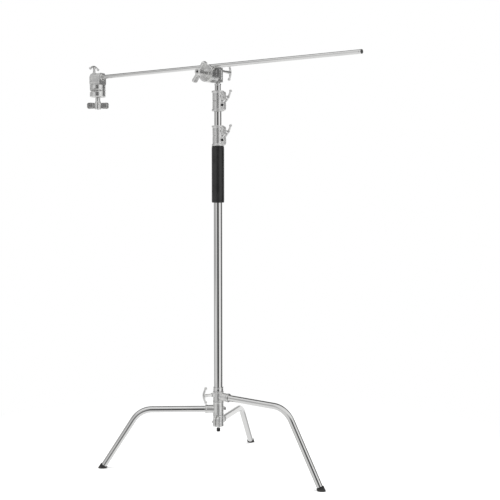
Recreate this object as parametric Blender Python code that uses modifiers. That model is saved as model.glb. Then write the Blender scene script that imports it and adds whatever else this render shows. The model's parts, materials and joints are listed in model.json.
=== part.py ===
"""C-stand with a sliding leg, two risers, and a boom arm held between two grip heads.

The origin is on the ground, under the middle of the whole stand's box at rest. +Z is up
and +X runs along the boom arm towards its load end. Lengths are in metres. Positions are
worked out from the column's axis, and STAND carries them into this frame.
"""

import math

import bmesh
import bpy
from mathutils import Matrix, Vector

MM = 0.001
IDENTITY = Matrix.Identity(4)
UP = (0, 0, 1)

# Gaps: between faces that meet, round a piece that slides or turns, and round a leg
GAP = 0.3 * MM
RUNNING_GAP = 0.4 * MM
SOCKET_GAP = 0.45 * MM

# Facets round a turned shape
SIDES = 24
MEDIUM_SIDES = 18
NOTCH_SIDES = 16
SMALL_SIDES = 12
JAW_SIDES = 32

# Where the column's axis stands
STAND = Matrix.Translation((-18.8 * MM, -112.9 * MM, 0))

# Column and risers
COLUMN_RADIUS = 17.5 * MM
RISER_2_RADIUS = 15.0 * MM
RISER_1_RADIUS = 12.5 * MM
COLUMN_WALL = 1.7 * MM
RISER_1_WALL = 1.5 * MM
COLUMN_BOTTOM = 185 * MM
RISER_2_BOTTOM = 400 * MM
RISER_1_BOTTOM = 500 * MM
RISER_1_TOP = 1541 * MM
PIN_RADIUS = 8.0 * MM

# Hand grip
GRIP_RADIUS = 25 * MM
GRIP_LOW = 1080 * MM
GRIP_HIGH = 1303.5 * MM

# Collars, and the ear that closes each one
LOWER_COLLAR_LOW = 1304 * MM
UPPER_COLLAR_LOW = 1441 * MM
COLLAR_HEIGHT = 80 * MM
COLLAR_SPLIT = 39 * MM
COLLAR_RADIUS = 21.5 * MM
LIP_RADIUS = 24.5 * MM
LIP_HEIGHT = 6 * MM
EAR_AZIMUTH = 12
EAR_REACH = 31 * MM
EAR_HALF_WIDTH = 11 * MM
SLIT_HALF_WIDTH = 1.2 * MM
SLOT_HEIGHT = 2 * MM
SLOT_SWEEP = 270
CLAMP_BOLT_OFFSET = 24.5 * MM
FIXING_BOLT_HEIGHT = 23 * MM
HANDLE_BOLT_HEIGHT = 58 * MM
COLLAR_HANDLE_REACH = 46 * MM
COLLAR_HANDLE_TURN = 31

# Legs: the top leg slides and swings, the middle leg swings, the low leg is clamped
LEG_RADIUS = 12.5 * MM
LEG_WALL = 1.5 * MM
LEG_START = 26 * MM
LEG_CORNER = 320 * MM
LEG_BEND = 95 * MM
FOOT_REACH = 477 * MM
LEG_SLOPE = math.radians(1.6)
TOP_LEG_AZIMUTH = 0
LOW_LEG_AZIMUTH = 108
MIDDLE_LEG_AZIMUTH = 209
TOP_HUB_HEIGHT = 303 * MM
MIDDLE_HUB_HEIGHT = 252 * MM
LOW_HUB_HEIGHT = 202 * MM
FOOT_RADIUS = 15.2 * MM
FOOT_HEIGHT = 15 * MM
FOOT_FLOOR = 4.5 * MM

# Leg castings
CASTING_RADIUS = 21.8 * MM
SOCKET_RADIUS = 16 * MM
RIM_RADIUS = 17.4 * MM
SOCKET_REACH = 52 * MM
CASTING_LEVELS = (182 * MM, 229.5 * MM, 283 * MM, 325 * MM)
SLIDE_RING_TOP = 341 * MM
SLIDE_RING_FLANGE = 20.5 * MM
SLIDE_RING_RADIUS = 19.0 * MM
BASE_HANDLE_AZIMUTH = 244
BASE_HANDLE_HEIGHT = 311 * MM
BASE_HANDLE_REACH = 66 * MM
LOW_EAR_OFFSET = 27.5 * MM
LOW_EAR_REACH = 34 * MM
LOW_EAR_HALF_WIDTH = 12.5 * MM

# Grip heads. In a head's own frame Z is the screw axis, out towards its big T-handle,
# X is the bore that takes a pin, and the origin is where the two axes cross.
STAND_HEAD_HEIGHT = 1582 * MM
ARM_HEAD_X = -588 * MM
RECEIVER_LENGTH = 60 * MM
RECEIVER_HALF_WIDTH = 21.5 * MM
RECEIVER_BACK = -17 * MM
RECEIVER_FRONT = 31.5 * MM
PIN_BORE = 8.45 * MM
STUD_RADIUS = 6 * MM
STUD_START = 11 * MM
STUD_END = 118 * MM
JAW_RADIUS = 34 * MM
JAW_FACE = 57 * MM
JAW_BACK = 32 * MM
JAW_FRONT = 82 * MM
NOTCH_OFFSET = 28 * MM
NOTCH_RADIUS = 8.45 * MM
NOTCHES = (
    (NOTCH_RADIUS, NOTCH_OFFSET),
    (6.6 * MM, 26 * MM),
    (5 * MM, 27 * MM),
    (3.4 * MM, 28 * MM),
)
SPRING_POCKET_RADIUS = 10.6 * MM
SPRING_POCKET_DEPTH = 8 * MM
SPRING_RADIUS = 8.6 * MM
HEAD_HANDLE_LOW = 85.4 * MM
HEAD_HANDLE_HIGH = 134.5 * MM
BOSS_LOW = 103 * MM
SCREW_SEAT = 127.5 * MM
RETAINER_RADIUS = 4.5 * MM
WING_LENGTH = 92 * MM
WING_WIDTH = 28 * MM
WING_THICKNESS = 9 * MM
WING_MIDDLE = 119 * MM
SET_SCREW_OFFSET = 20 * MM
STAND_SET_SCREW_REACH = 86 * MM
ARM_SET_SCREW_REACH = 46 * MM

# Boom arm
ARM_RADIUS = PIN_RADIUS
ARM_BORE = 5.5 * MM
ARM_LEFT = -615 * MM
ARM_RIGHT = 663 * MM
ARM_Y = -JAW_FACE
ARM_HEIGHT = STAND_HEAD_HEIGHT + NOTCH_OFFSET

# Bolts, nuts and the holes they pass through
BOLT_RADIUS = 3 * MM
BOLT_HOLE = 3.4 * MM
NUT_RADIUS = 5.8 * MM
SCREW_HOLE = 4.4 * MM
SOCKET_DEPTH = 2.5 * MM

# Small T-handles
BAR_HALF_LENGTH = 28 * MM
BAR_RADIUS = 4.4 * MM
BAR_SAG = 9 * MM
BALL_RADIUS = 5.8 * MM
HANDLE_SHAFT_RADIUS = 4 * MM
HUB_LOW_RADIUS = 5.4 * MM
HUB_HIGH_RADIUS = 7 * MM


# --- Scene and materials ---------------------------------------------------------------


def clear_scene():
    for obj in list(bpy.data.objects):
        bpy.data.objects.remove(obj)


def new_collection(name):
    collection = bpy.data.collections.new(name)
    bpy.context.scene.collection.children.link(collection)
    return collection


def new_material(name, colour, roughness, metallic):
    material = bpy.data.materials.new(name)
    material.use_nodes = True
    shader = material.node_tree.nodes["Principled BSDF"]
    shader.inputs["Base Color"].default_value = (*colour, 1)
    shader.inputs["Roughness"].default_value = roughness
    shader.inputs["Metallic"].default_value = metallic
    material.diffuse_color = (*colour, 1)
    return material


clear_scene()
PARTS = new_collection("c_stand")
CUTTERS = new_collection("cutters")

TUBE_STEEL = new_material("tube_steel", (0.78, 0.78, 0.77), 0.16, 1.0)
CASTING = new_material("satin_casting", (0.70, 0.70, 0.68), 0.34, 1.0)
HANDLE = new_material("handle_casting", (0.74, 0.74, 0.72), 0.28, 1.0)
BRIGHT_STEEL = new_material("bright_steel", (0.80, 0.80, 0.80), 0.12, 1.0)
DARK_STEEL = new_material("dark_steel", (0.03, 0.03, 0.03), 0.45, 0.6)
GRIP_FOAM = new_material("grip_foam", (0.012, 0.012, 0.013), 0.62, 0.0)
BLACK_RUBBER = new_material("black_rubber", (0.015, 0.015, 0.016), 0.75, 0.0)
NYLON = new_material("nylon", (0.05, 0.05, 0.05), 0.5, 0.0)
SPRING_STEEL = new_material("spring_steel", (0.45, 0.45, 0.46), 0.3, 1.0)


# --- Frames ----------------------------------------------------------------------------


def frame(origin, z_axis, x_axis):
    """Frame with its Z and X along two perpendicular directions."""
    z = Vector(z_axis).normalized()
    x = Vector(x_axis).normalized()
    columns = Matrix((x, z.cross(x), z)).transposed().to_4x4()
    columns.translation = origin
    return columns


def turn(degrees):
    return Matrix.Rotation(math.radians(degrees), 4, "Z")


def heading(degrees):
    angle = math.radians(degrees)
    return Vector((math.cos(angle), math.sin(angle), 0))


def new_pivot(name, place):
    """Empty that stands on a joint's axis and carries the pieces that move about it."""
    pivot = bpy.data.objects.new(name, None)
    pivot.empty_display_size = 20 * MM
    pivot.matrix_world = STAND @ place
    PARTS.objects.link(pivot)
    return pivot


# --- Shapes ----------------------------------------------------------------------------


def add_object(name, mesh, pivot, local, helper):
    obj = bpy.data.objects.new(name, mesh)
    if helper:
        CUTTERS.objects.link(obj)
        obj.hide_render = True
        obj.display_type = "WIRE"
    else:
        PARTS.objects.link(obj)
    mesh.shade_smooth()
    mesh.set_sharp_from_angle(angle=math.radians(35))
    obj.parent = pivot
    obj.matrix_basis = local
    return obj


def mesh_from(bm, name):
    mesh = bpy.data.meshes.new(name)
    bm.to_mesh(mesh)
    bm.free()
    return mesh


def rod(name, radius, low, high, pivot, local=IDENTITY, sides=SIDES, top=None, helper=False):
    """Cylinder along local Z, or a cone when its top radius differs."""
    bm = bmesh.new()
    bmesh.ops.create_cone(
        bm,
        cap_ends=True,
        segments=sides,
        radius1=radius,
        radius2=radius if top is None else top,
        depth=high - low,
        matrix=Matrix.Translation((0, 0, (low + high) / 2)),
    )
    return add_object(name, mesh_from(bm, name), pivot, local, helper)


def hidden_rod(name, radius, low, high, pivot, local=IDENTITY, sides=SIDES, top=None):
    """Rod that only cuts another piece or is joined to one."""
    return rod(name, radius, low, high, pivot, local, sides, top, True)


def box(name, low, high, pivot, local=IDENTITY, helper=False):
    """Box between two corners."""
    low, high = Vector(low), Vector(high)
    place = Matrix.Translation((low + high) / 2) @ Matrix.Diagonal((*(high - low), 1))
    bm = bmesh.new()
    bmesh.ops.create_cube(bm, size=1, matrix=place)
    return add_object(name, mesh_from(bm, name), pivot, local, helper)


def ball(name, radius, centre, pivot, local=IDENTITY, helper=False):
    bm = bmesh.new()
    bmesh.ops.create_uvsphere(
        bm, u_segments=10, v_segments=6, radius=radius, matrix=Matrix.Translation(centre)
    )
    return add_object(name, mesh_from(bm, name), pivot, local, helper)


def turned(name, profile, pivot, local=IDENTITY, sides=SIDES, closed=True, helper=False):
    """Turned shape: (radius, height) points, down the outer side and up the inner one."""
    count = len(profile)
    edges = [(i, i + 1) for i in range(count - 1)]
    if closed:
        edges.append((count - 1, 0))
    mesh = bpy.data.meshes.new(name)
    mesh.from_pydata([(radius, 0, height) for radius, height in profile], edges, [])
    obj = add_object(name, mesh, pivot, local, helper)
    screw = obj.modifiers.new("turn", "SCREW")
    screw.steps = sides
    screw.render_steps = sides
    screw.use_merge_vertices = True
    screw.merge_threshold = 0.00001
    return obj


def tube(name, outer, wall, low, high, pivot):
    inner = outer - wall
    return turned(name, [(outer, high), (outer, low), (inner, low), (inner, high)], pivot)


def fillet(path, radius, steps, cyclic=False):
    """The path with each inner corner replaced by an arc of this radius."""
    path = [Vector(point) for point in path]
    rounded = []
    for index, corner in enumerate(path):
        if not cyclic and index in (0, len(path) - 1):
            rounded.append(corner)
            continue
        back = (path[index - 1] - corner).normalized()
        ahead = (path[(index + 1) % len(path)] - corner).normalized()
        half = back.angle(ahead) / 2
        centre = corner + (back + ahead).normalized() * radius / math.sin(half)
        first = corner + back * radius / math.tan(half) - centre
        last = corner + ahead * radius / math.tan(half) - centre
        sweep = math.pi - 2 * half
        for step in range(steps + 1):
            part = sweep * step / steps
            spoke = first * math.sin(sweep - part) + last * math.sin(part)
            rounded.append(centre + spoke / math.sin(sweep))
    return rounded


def solid_from_curve(name, curve, pivot, local, helper):
    """Mesh object made from a curve, with its caps welded on."""
    draft = bpy.data.objects.new(name + "_curve", curve)
    bpy.context.scene.collection.objects.link(draft)
    graph = bpy.context.evaluated_depsgraph_get()
    mesh = bpy.data.meshes.new_from_object(draft.evaluated_get(graph))
    place = draft.matrix_world.copy()
    bpy.data.objects.remove(draft)
    bm = bmesh.new()
    bm.from_mesh(mesh)
    bmesh.ops.remove_doubles(bm, verts=bm.verts, dist=0.000001)
    bmesh.ops.recalc_face_normals(bm, faces=bm.faces)
    bm.to_mesh(mesh)
    bm.free()
    mesh.name = name
    return add_object(name, mesh, pivot, local @ place, helper)


def add_spline(curve, points, cyclic):
    spline = curve.splines.new("POLY")
    spline.points.add(len(points) - 1)
    for point, place in zip(spline.points, points):
        point.co = (*Vector(place).to_3d(), 1)
    spline.use_cyclic_u = cyclic


def plate(name, outline, thickness, pivot, local=IDENTITY, helper=False):
    """Flat outline in local XY, extruded half its thickness each way along Z."""
    curve = bpy.data.curves.new(name, "CURVE")
    curve.dimensions = "2D"
    curve.fill_mode = "BOTH"
    curve.extrude = thickness / 2
    add_spline(curve, outline, True)
    return solid_from_curve(name, curve, pivot, local, helper)


def wire(name, path, radius, pivot, local=IDENTITY, resolution=4, helper=False):
    """Round bar along a path. It has 4 + 2 x resolution sides."""
    curve = bpy.data.curves.new(name, "CURVE")
    curve.dimensions = "3D"
    curve.bevel_depth = radius
    curve.bevel_resolution = resolution
    curve.use_fill_caps = True
    add_spline(curve, path, False)
    return solid_from_curve(name, curve, pivot, local, helper)


def combine(target, operation, others, solver):
    for other in others:
        modifier = target.modifiers.new(other.name, "BOOLEAN")
        modifier.operation = operation
        modifier.solver = solver
        modifier.object = other


def join(target, *others, solver="EXACT"):
    combine(target, "UNION", others, solver)


def cut(target, *others, solver="EXACT"):
    combine(target, "DIFFERENCE", others, solver)


def finish(obj, material):
    obj.data.materials.append(material)
    return obj


def round_edges(obj, width, segments=2):
    bevel = obj.modifiers.new("round", "BEVEL")
    bevel.width = width
    bevel.segments = segments
    bevel.limit_method = "ANGLE"
    bevel.angle_limit = math.radians(40)


# --- Screws and handles ----------------------------------------------------------------


def t_handle(name, tip, shoulder, reach, pivot, place, bar_turn):
    """Screw with a crescent bar across its end, whose two balls lean back over the screw."""
    handle = rod(name, HANDLE_SHAFT_RADIUS, tip, reach, pivot, place, SMALL_SIDES)
    hub_high = reach - 1 * MM
    hub = hidden_rod(name + "_hub", HUB_LOW_RADIUS, shoulder, hub_high, pivot, place, MEDIUM_SIDES,
                     HUB_HIGH_RADIUS)
    across = place @ turn(bar_turn)
    steps = 6
    path = []
    for step in range(steps + 1):
        part = 2 * step / steps - 1
        path.append((part * BAR_HALF_LENGTH, 0, reach - BAR_SAG * part * part))
    bar = wire(name + "_bar", path, BAR_RADIUS, pivot, across, 2, True)
    ends = [
        ball(f"{name}_ball_{index}", BALL_RADIUS, path[index], pivot, across, True)
        for index in (0, -1)
    ]
    join(handle, hub, bar, *ends)
    return finish(handle, HANDLE)


def hex_bolt(name, radius, tip, head, head_height, pivot, place, head_radius):
    """Bolt along local Z with a six-sided head from head upwards."""
    bolt = rod(name, radius, tip, head + head_height / 2, pivot, place, SMALL_SIDES)
    top = hidden_rod(name + "_head", head_radius, head, head + head_height, pivot, place, 6)
    join(bolt, top)
    return finish(bolt, BRIGHT_STEEL)


def socket_bolt(name, radius, tip, head, head_height, head_radius, pivot, place):
    """Bolt with a round head and a hexagon socket in it."""
    high = head + head_height
    bolt = rod(name, radius, tip, head + 1 * MM, pivot, place, SMALL_SIDES)
    top = hidden_rod(name + "_head", head_radius, head, high, pivot, place, MEDIUM_SIDES)
    socket = hidden_rod(name + "_socket", head_radius / 2, high - SOCKET_DEPTH, high + MM, pivot,
                        place, 6)
    join(bolt, top)
    cut(bolt, socket)
    return finish(bolt, DARK_STEEL)


def nut(name, radius, hole, low, high, pivot, place):
    body = rod(name, radius, low, high, pivot, place, 6)
    cut(body, hidden_rod(name + "_hole", hole, low - MM, high + MM, pivot, place, SMALL_SIDES))
    return finish(body, BRIGHT_STEEL)


# --- Column, risers and collars --------------------------------------------------------


def end_guide(name, tube_bottom, running_radius, spigot_radius, bore, pivot):
    """Ring under a riser that keeps it central in the tube round it."""
    low = tube_bottom - 12 * MM
    seat = tube_bottom - GAP
    high = tube_bottom + 10 * MM
    profile = [
        (running_radius, seat),
        (running_radius, low),
        (bore, low),
        (bore, high),
        (spigot_radius, high),
        (spigot_radius, seat),
    ]
    return finish(turned(name, profile, pivot), NYLON)


def collar(name, low, held_radius, clamped_radius, pivot):
    """Split collar: fixed on the tube below its slot, clamping the riser above it."""
    place = Matrix.Translation((0, 0, low)) @ turn(EAR_AZIMUTH)
    edge = 1 * MM
    slope = 1.5 * MM
    top = COLLAR_HEIGHT
    profile = [
        (0, top),
        (LIP_RADIUS - edge, top),
        (LIP_RADIUS, top - edge),
        (LIP_RADIUS, top - LIP_HEIGHT),
        (COLLAR_RADIUS, top - LIP_HEIGHT - slope),
        (COLLAR_RADIUS, LIP_HEIGHT + slope),
        (LIP_RADIUS, LIP_HEIGHT),
        (LIP_RADIUS, edge),
        (LIP_RADIUS - edge, 0),
        (0, 0),
    ]
    body = turned(name, profile, pivot, place, closed=False)
    ear_root = 13 * MM
    ear_levels = {"low": (2.5 * MM, 37.5 * MM), "high": (41.5 * MM, 77.5 * MM)}
    for level, (ear_low, ear_high) in ear_levels.items():
        outline = [(ear_root, ear_low), (EAR_REACH, ear_low), (EAR_REACH, ear_high),
                   (ear_root, ear_high)]
        upright = frame((0, 0, 0), (0, -1, 0), (1, 0, 0))
        ear = plate(f"{name}_ear_{level}", fillet(outline, 7 * MM, 4, True),
                    2 * EAR_HALF_WIDTH, pivot, place @ upright, True)
        join(body, ear)
    bolt = place @ frame((CLAMP_BOLT_OFFSET, 0, FIXING_BOLT_HEIGHT), (0, -1, 0), UP)
    handle = place @ frame((CLAMP_BOLT_OFFSET, 0, HANDLE_BOLT_HEIGHT), (0, 1, 0), UP)
    join(body, hidden_rod(name + "_boss", 9 * MM, 9 * MM, 13.5 * MM, pivot, bolt, MEDIUM_SIDES))
    reach = 60 * MM
    sector = [(0, 0)]
    for degrees in range(0, SLOT_SWEEP + 1, 30):
        sector.append(tuple(heading(degrees).to_2d() * reach))
    slot = plate(name + "_slot", sector, SLOT_HEIGHT, pivot,
                 place @ Matrix.Translation((0, 0, COLLAR_SPLIT + MM / 2)), True)
    cut(
        body,
        hidden_rod(name + "_held", held_radius + RUNNING_GAP, -MM, COLLAR_SPLIT, pivot, place),
        hidden_rod(name + "_clamped", clamped_radius + RUNNING_GAP, COLLAR_SPLIT - MM, top + MM,
                   pivot, place),
        box(name + "_slit", (8 * MM, -SLIT_HALF_WIDTH, -MM),
            (40 * MM, SLIT_HALF_WIDTH, top + MM), pivot, place, True),
        slot,
        hidden_rod(name + "_bolt_hole", BOLT_HOLE, -20 * MM, 20 * MM, pivot, bolt, SMALL_SIDES),
        hidden_rod(name + "_bolt_seat", 5.4 * MM, 8.5 * MM, 20 * MM, pivot, bolt, MEDIUM_SIDES),
        hidden_rod(name + "_handle_hole", SCREW_HOLE, -20 * MM, 20 * MM, pivot, handle, SMALL_SIDES),
        solver="MANIFOLD",
    )
    finish(body, CASTING)
    socket_bolt(name + "_fixing_bolt", BOLT_RADIUS, -16 * MM, 8.8 * MM, 4.4 * MM, 5 * MM, pivot,
                bolt)
    seat = -EAR_HALF_WIDTH - GAP
    nut(name + "_fixing_nut", NUT_RADIUS, BOLT_HOLE, -15.6 * MM, seat, pivot, bolt)
    nut(name + "_clamp_nut", 6.2 * MM, SCREW_HOLE, -16.4 * MM, seat, pivot, handle)
    return body


def collar_handle(name, low):
    """T-handle whose screw draws a collar's two ears together, on its own turning pivot."""
    place = Matrix.Translation((0, 0, low)) @ turn(EAR_AZIMUTH)
    axis = place @ frame((CLAMP_BOLT_OFFSET, 0, HANDLE_BOLT_HEIGHT), (0, 1, 0), UP)
    pivot = new_pivot(name + "_axis", axis)
    t_handle(name, -17 * MM, EAR_HALF_WIDTH + GAP, COLLAR_HANDLE_REACH, pivot, IDENTITY,
             COLLAR_HANDLE_TURN)


def build_column(pivot):
    top = LOWER_COLLAR_LOW + COLLAR_SPLIT - GAP
    finish(tube("base_column", COLUMN_RADIUS, COLUMN_WALL, COLUMN_BOTTOM, top, pivot), TUBE_STEEL)

    edge = 1.5 * MM
    bore = COLUMN_RADIUS + RUNNING_GAP
    profile = [
        (GRIP_RADIUS - edge, GRIP_HIGH),
        (GRIP_RADIUS, GRIP_HIGH - edge),
        (GRIP_RADIUS, GRIP_LOW + edge),
        (GRIP_RADIUS - edge, GRIP_LOW),
        (bore, GRIP_LOW),
        (bore, GRIP_HIGH),
    ]
    finish(turned("hand_grip", profile, pivot), GRIP_FOAM)

    plug_radius = COLUMN_RADIUS - COLUMN_WALL - RUNNING_GAP
    seat = COLUMN_BOTTOM - GAP
    flange = COLUMN_RADIUS - GAP
    low = seat - 2.1 * MM
    high = seat + 15.3 * MM
    profile = [
        (plug_radius, high),
        (plug_radius, seat),
        (flange, seat),
        (flange, low),
        (SCREW_HOLE, low),
        (SCREW_HOLE, high),
    ]
    finish(turned("column_end_plug", profile, pivot), NYLON)

    shoulder = low - RUNNING_GAP
    bumper_top = shoulder - 8.2 * MM
    bumper_low = bumper_top - 14 * MM
    pilot_low = bumper_low + 6.5 * MM
    profile = [
        (0, high - 4 * MM),
        (SCREW_HOLE - RUNNING_GAP, high - 4 * MM),
        (SCREW_HOLE - RUNNING_GAP, shoulder),
        (5.5 * MM, shoulder),
        (5.5 * MM, bumper_top + GAP),
        (BOLT_RADIUS, bumper_top + GAP),
        (BOLT_RADIUS, pilot_low),
        (0, pilot_low),
    ]
    screw = turned("bumper_screw", profile, pivot, sides=MEDIUM_SIDES, closed=False)
    finish(screw, BRIGHT_STEEL)

    bumper = rod("rubber_bumper", 7.5 * MM, bumper_low, bumper_top, pivot, IDENTITY, MEDIUM_SIDES)
    hole = hidden_rod("bumper_hole", BOLT_HOLE, pilot_low - MM / 2, bumper_top + MM, pivot, IDENTITY,
                      MEDIUM_SIDES)
    cut(bumper, hole)
    finish(bumper, BLACK_RUBBER)

    collar("lower_collar", LOWER_COLLAR_LOW, COLUMN_RADIUS, RISER_2_RADIUS, pivot)


def build_riser_2(pivot):
    top = UPPER_COLLAR_LOW + COLLAR_SPLIT - GAP
    riser = tube("riser_2_tube", RISER_2_RADIUS, COLUMN_WALL, RISER_2_BOTTOM, top, pivot)
    finish(riser, TUBE_STEEL)
    end_guide("riser_2_end_guide", RISER_2_BOTTOM, COLUMN_RADIUS - COLUMN_WALL - RUNNING_GAP,
              RISER_2_RADIUS - COLUMN_WALL - RUNNING_GAP, 11 * MM, pivot)
    collar("upper_collar", UPPER_COLLAR_LOW, RISER_2_RADIUS, RISER_1_RADIUS, pivot)


def build_riser_1(pivot):
    riser = tube("riser_1_tube", RISER_1_RADIUS, RISER_1_WALL, RISER_1_BOTTOM, RISER_1_TOP, pivot)
    finish(riser, TUBE_STEEL)
    inner = RISER_1_RADIUS - RISER_1_WALL
    end_guide("riser_1_end_guide", RISER_1_BOTTOM, RISER_2_RADIUS - COLUMN_WALL - RUNNING_GAP,
              inner - RUNNING_GAP, 8 * MM, pivot)
    seat = RISER_1_TOP + GAP
    flange = 13.6 * MM
    flange_top = RISER_1_TOP + 8 * MM
    pin_top = STAND_HEAD_HEIGHT + 24 * MM
    profile = [
        (0, pin_top),
        (PIN_RADIUS - MM, pin_top),
        (PIN_RADIUS, pin_top - MM),
        (PIN_RADIUS, flange_top),
        (flange, flange_top),
        (RISER_1_RADIUS, seat),
        (inner - RUNNING_GAP, seat),
        (inner - RUNNING_GAP, RISER_1_TOP - 36 * MM),
        (0, RISER_1_TOP - 36 * MM),
    ]
    finish(turned("baby_stud", profile, pivot, closed=False), BRIGHT_STEEL)


# --- Legs ------------------------------------------------------------------------------


def socket_frame(hub_height):
    """Frame along a leg's run, from the column's axis outwards and slightly down."""
    along = (math.cos(LEG_SLOPE), 0, -math.sin(LEG_SLOPE))
    return frame((0, 0, hub_height), along, (math.sin(LEG_SLOPE), 0, math.cos(LEG_SLOPE)))


def leg(prefix, hub_height, pivot, place, ground, sole, trim):
    """Bent tube from its casting down to the ground, and the rubber cap on its end."""
    fall = math.tan(LEG_SLOPE)
    start = Vector((LEG_START, 0, hub_height - fall * LEG_START))
    corner = Vector((LEG_CORNER, 0, hub_height - fall * LEG_CORNER))
    toe = Vector((FOOT_REACH, 0, 0))
    rise = (corner - toe).normalized()
    spare = 30 * MM
    outer_path = fillet([start, corner, toe - rise * spare], LEG_BEND, 6)
    back = (start - corner).normalized()
    inner_path = fillet(
        [start + back * spare / 4, corner, toe - rise * spare * 1.3], LEG_BEND, 6
    )
    name = prefix + "_tube"
    body = wire(name, outer_path, LEG_RADIUS, pivot, place, 6)
    bore = wire(name + "_bore", inner_path, LEG_RADIUS - LEG_WALL, pivot, place, 3, True)
    cut(body, bore, trim)
    finish(body, TUBE_STEEL)

    upright = place @ frame(toe, rise, rise.cross(Vector((0, 1, 0))))
    name = prefix + "_foot"
    foot = rod(name, FOOT_RADIUS, -25 * MM, FOOT_HEIGHT, pivot, upright, MEDIUM_SIDES)
    hollow = hidden_rod(name + "_hollow", LEG_RADIUS + RUNNING_GAP, -30 * MM, 40 * MM, pivot,
                        upright, MEDIUM_SIDES)
    cut(hollow, sole)
    cut(foot, hollow, ground)
    finish(foot, BLACK_RUBBER)


def leg_casting(name, level, bore, hub_height, pivot, place):
    """Ring round the column with a socket for its leg, and a web under the socket."""
    low = CASTING_LEVELS[level] + GAP
    high = CASTING_LEVELS[level + 1] - GAP
    body = rod(name, CASTING_RADIUS, low, high, pivot, place)
    round_edges(body, 1.2 * MM, 1)
    along = place @ socket_frame(hub_height)
    socket = hidden_rod(name + "_socket", SOCKET_RADIUS, 5 * MM, SOCKET_REACH, pivot, along,
                        MEDIUM_SIDES)
    rim = hidden_rod(name + "_rim", RIM_RADIUS, SOCKET_REACH - 6 * MM, SOCKET_REACH + 0.6 * MM,
                     pivot, along, MEDIUM_SIDES)
    join(body, socket, rim)
    cuts = [
        hidden_rod(name + "_bore", bore, low - 20 * MM, high + 20 * MM, pivot, place),
        hidden_rod(name + "_leg_bore", LEG_RADIUS + SOCKET_GAP, LEG_START - 2 * MM, 60 * MM, pivot,
                   along, MEDIUM_SIDES),
    ]
    return body, cuts


def build_low_casting(pivot, place):
    bore = COLUMN_RADIUS + RUNNING_GAP
    body, cuts = leg_casting("low_leg_casting", 0, bore, LOW_HUB_HEIGHT, pivot, place)
    low = CASTING_LEVELS[0] + 1.5 * MM
    high = low + 40 * MM
    outline = [(-LOW_EAR_REACH, low), (-12 * MM, low), (-12 * MM, high), (-LOW_EAR_REACH, high)]
    upright = frame((0, 0, 0), (0, -1, 0), (1, 0, 0))
    ears = plate("low_leg_ears", fillet(outline, 9 * MM, 5, True), 2 * LOW_EAR_HALF_WIDTH, pivot,
                 place @ upright, True)
    web_outline = [(10 * MM, low + MM), (40 * MM, LOW_HUB_HEIGHT - 10 * MM),
                   (10 * MM, LOW_HUB_HEIGHT)]
    web = plate("low_leg_web", web_outline, 9 * MM, pivot, place @ upright, True)
    join(body, ears, web)
    slit = box("low_leg_slit", (-45 * MM, -SLIT_HALF_WIDTH, low - 20 * MM),
               (-8 * MM, SLIT_HALF_WIDTH, high + 20 * MM), pivot, place, True)
    bolt = place @ frame((-LOW_EAR_OFFSET, 0, LOW_HUB_HEIGHT + 1.5 * MM), (0, 1, 0), UP)
    hole = hidden_rod("low_leg_bolt_hole", BOLT_HOLE, -30 * MM, 30 * MM, pivot, bolt, SMALL_SIDES)
    cut(body, *cuts, slit, hole)
    finish(body, CASTING)
    outside = LOW_EAR_HALF_WIDTH + GAP
    hex_bolt("low_leg_clamp_bolt", BOLT_RADIUS, -18 * MM, outside, 4 * MM, pivot, bolt, NUT_RADIUS)
    nut("low_leg_clamp_nut", NUT_RADIUS, BOLT_HOLE, -outside - 4.6 * MM, -outside, pivot, bolt)


def build_middle_casting(pivot, place):
    bore = COLUMN_RADIUS + RUNNING_GAP
    body, cuts = leg_casting("middle_leg_casting", 1, bore, MIDDLE_HUB_HEIGHT, pivot, place)
    opposite = place @ frame((0, 0, MIDDLE_HUB_HEIGHT + 2 * MM), (-1, 0, 0), UP)
    boss = hidden_rod("middle_leg_boss", 8 * MM, 12 * MM, 25.5 * MM, pivot, opposite, MEDIUM_SIDES)
    hole = hidden_rod("middle_leg_bolt_hole", BOLT_HOLE, 10 * MM, 30 * MM, pivot, opposite,
                      SMALL_SIDES)
    join(body, boss)
    cut(body, *cuts, hole)
    finish(body, CASTING)
    hex_bolt("middle_leg_hex_bolt", BOLT_RADIUS, 18.4 * MM, 25.8 * MM, 5 * MM, pivot, opposite,
             6.4 * MM)


def build_top_casting(pivot, place):
    bore = SLIDE_RING_RADIUS + RUNNING_GAP
    body, cuts = leg_casting("top_leg_casting", 2, bore, TOP_HUB_HEIGHT, pivot, place)
    screw = frame((0, 0, BASE_HANDLE_HEIGHT), heading(BASE_HANDLE_AZIMUTH), UP)
    boss = hidden_rod("top_leg_boss", 8 * MM, 12 * MM, 30 * MM, pivot, screw, MEDIUM_SIDES)
    hole = hidden_rod("top_leg_screw_hole", SCREW_HOLE, 10 * MM, 40 * MM, pivot, screw, SMALL_SIDES)
    join(body, boss)
    cut(body, *cuts, hole)
    finish(body, CASTING)


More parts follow.
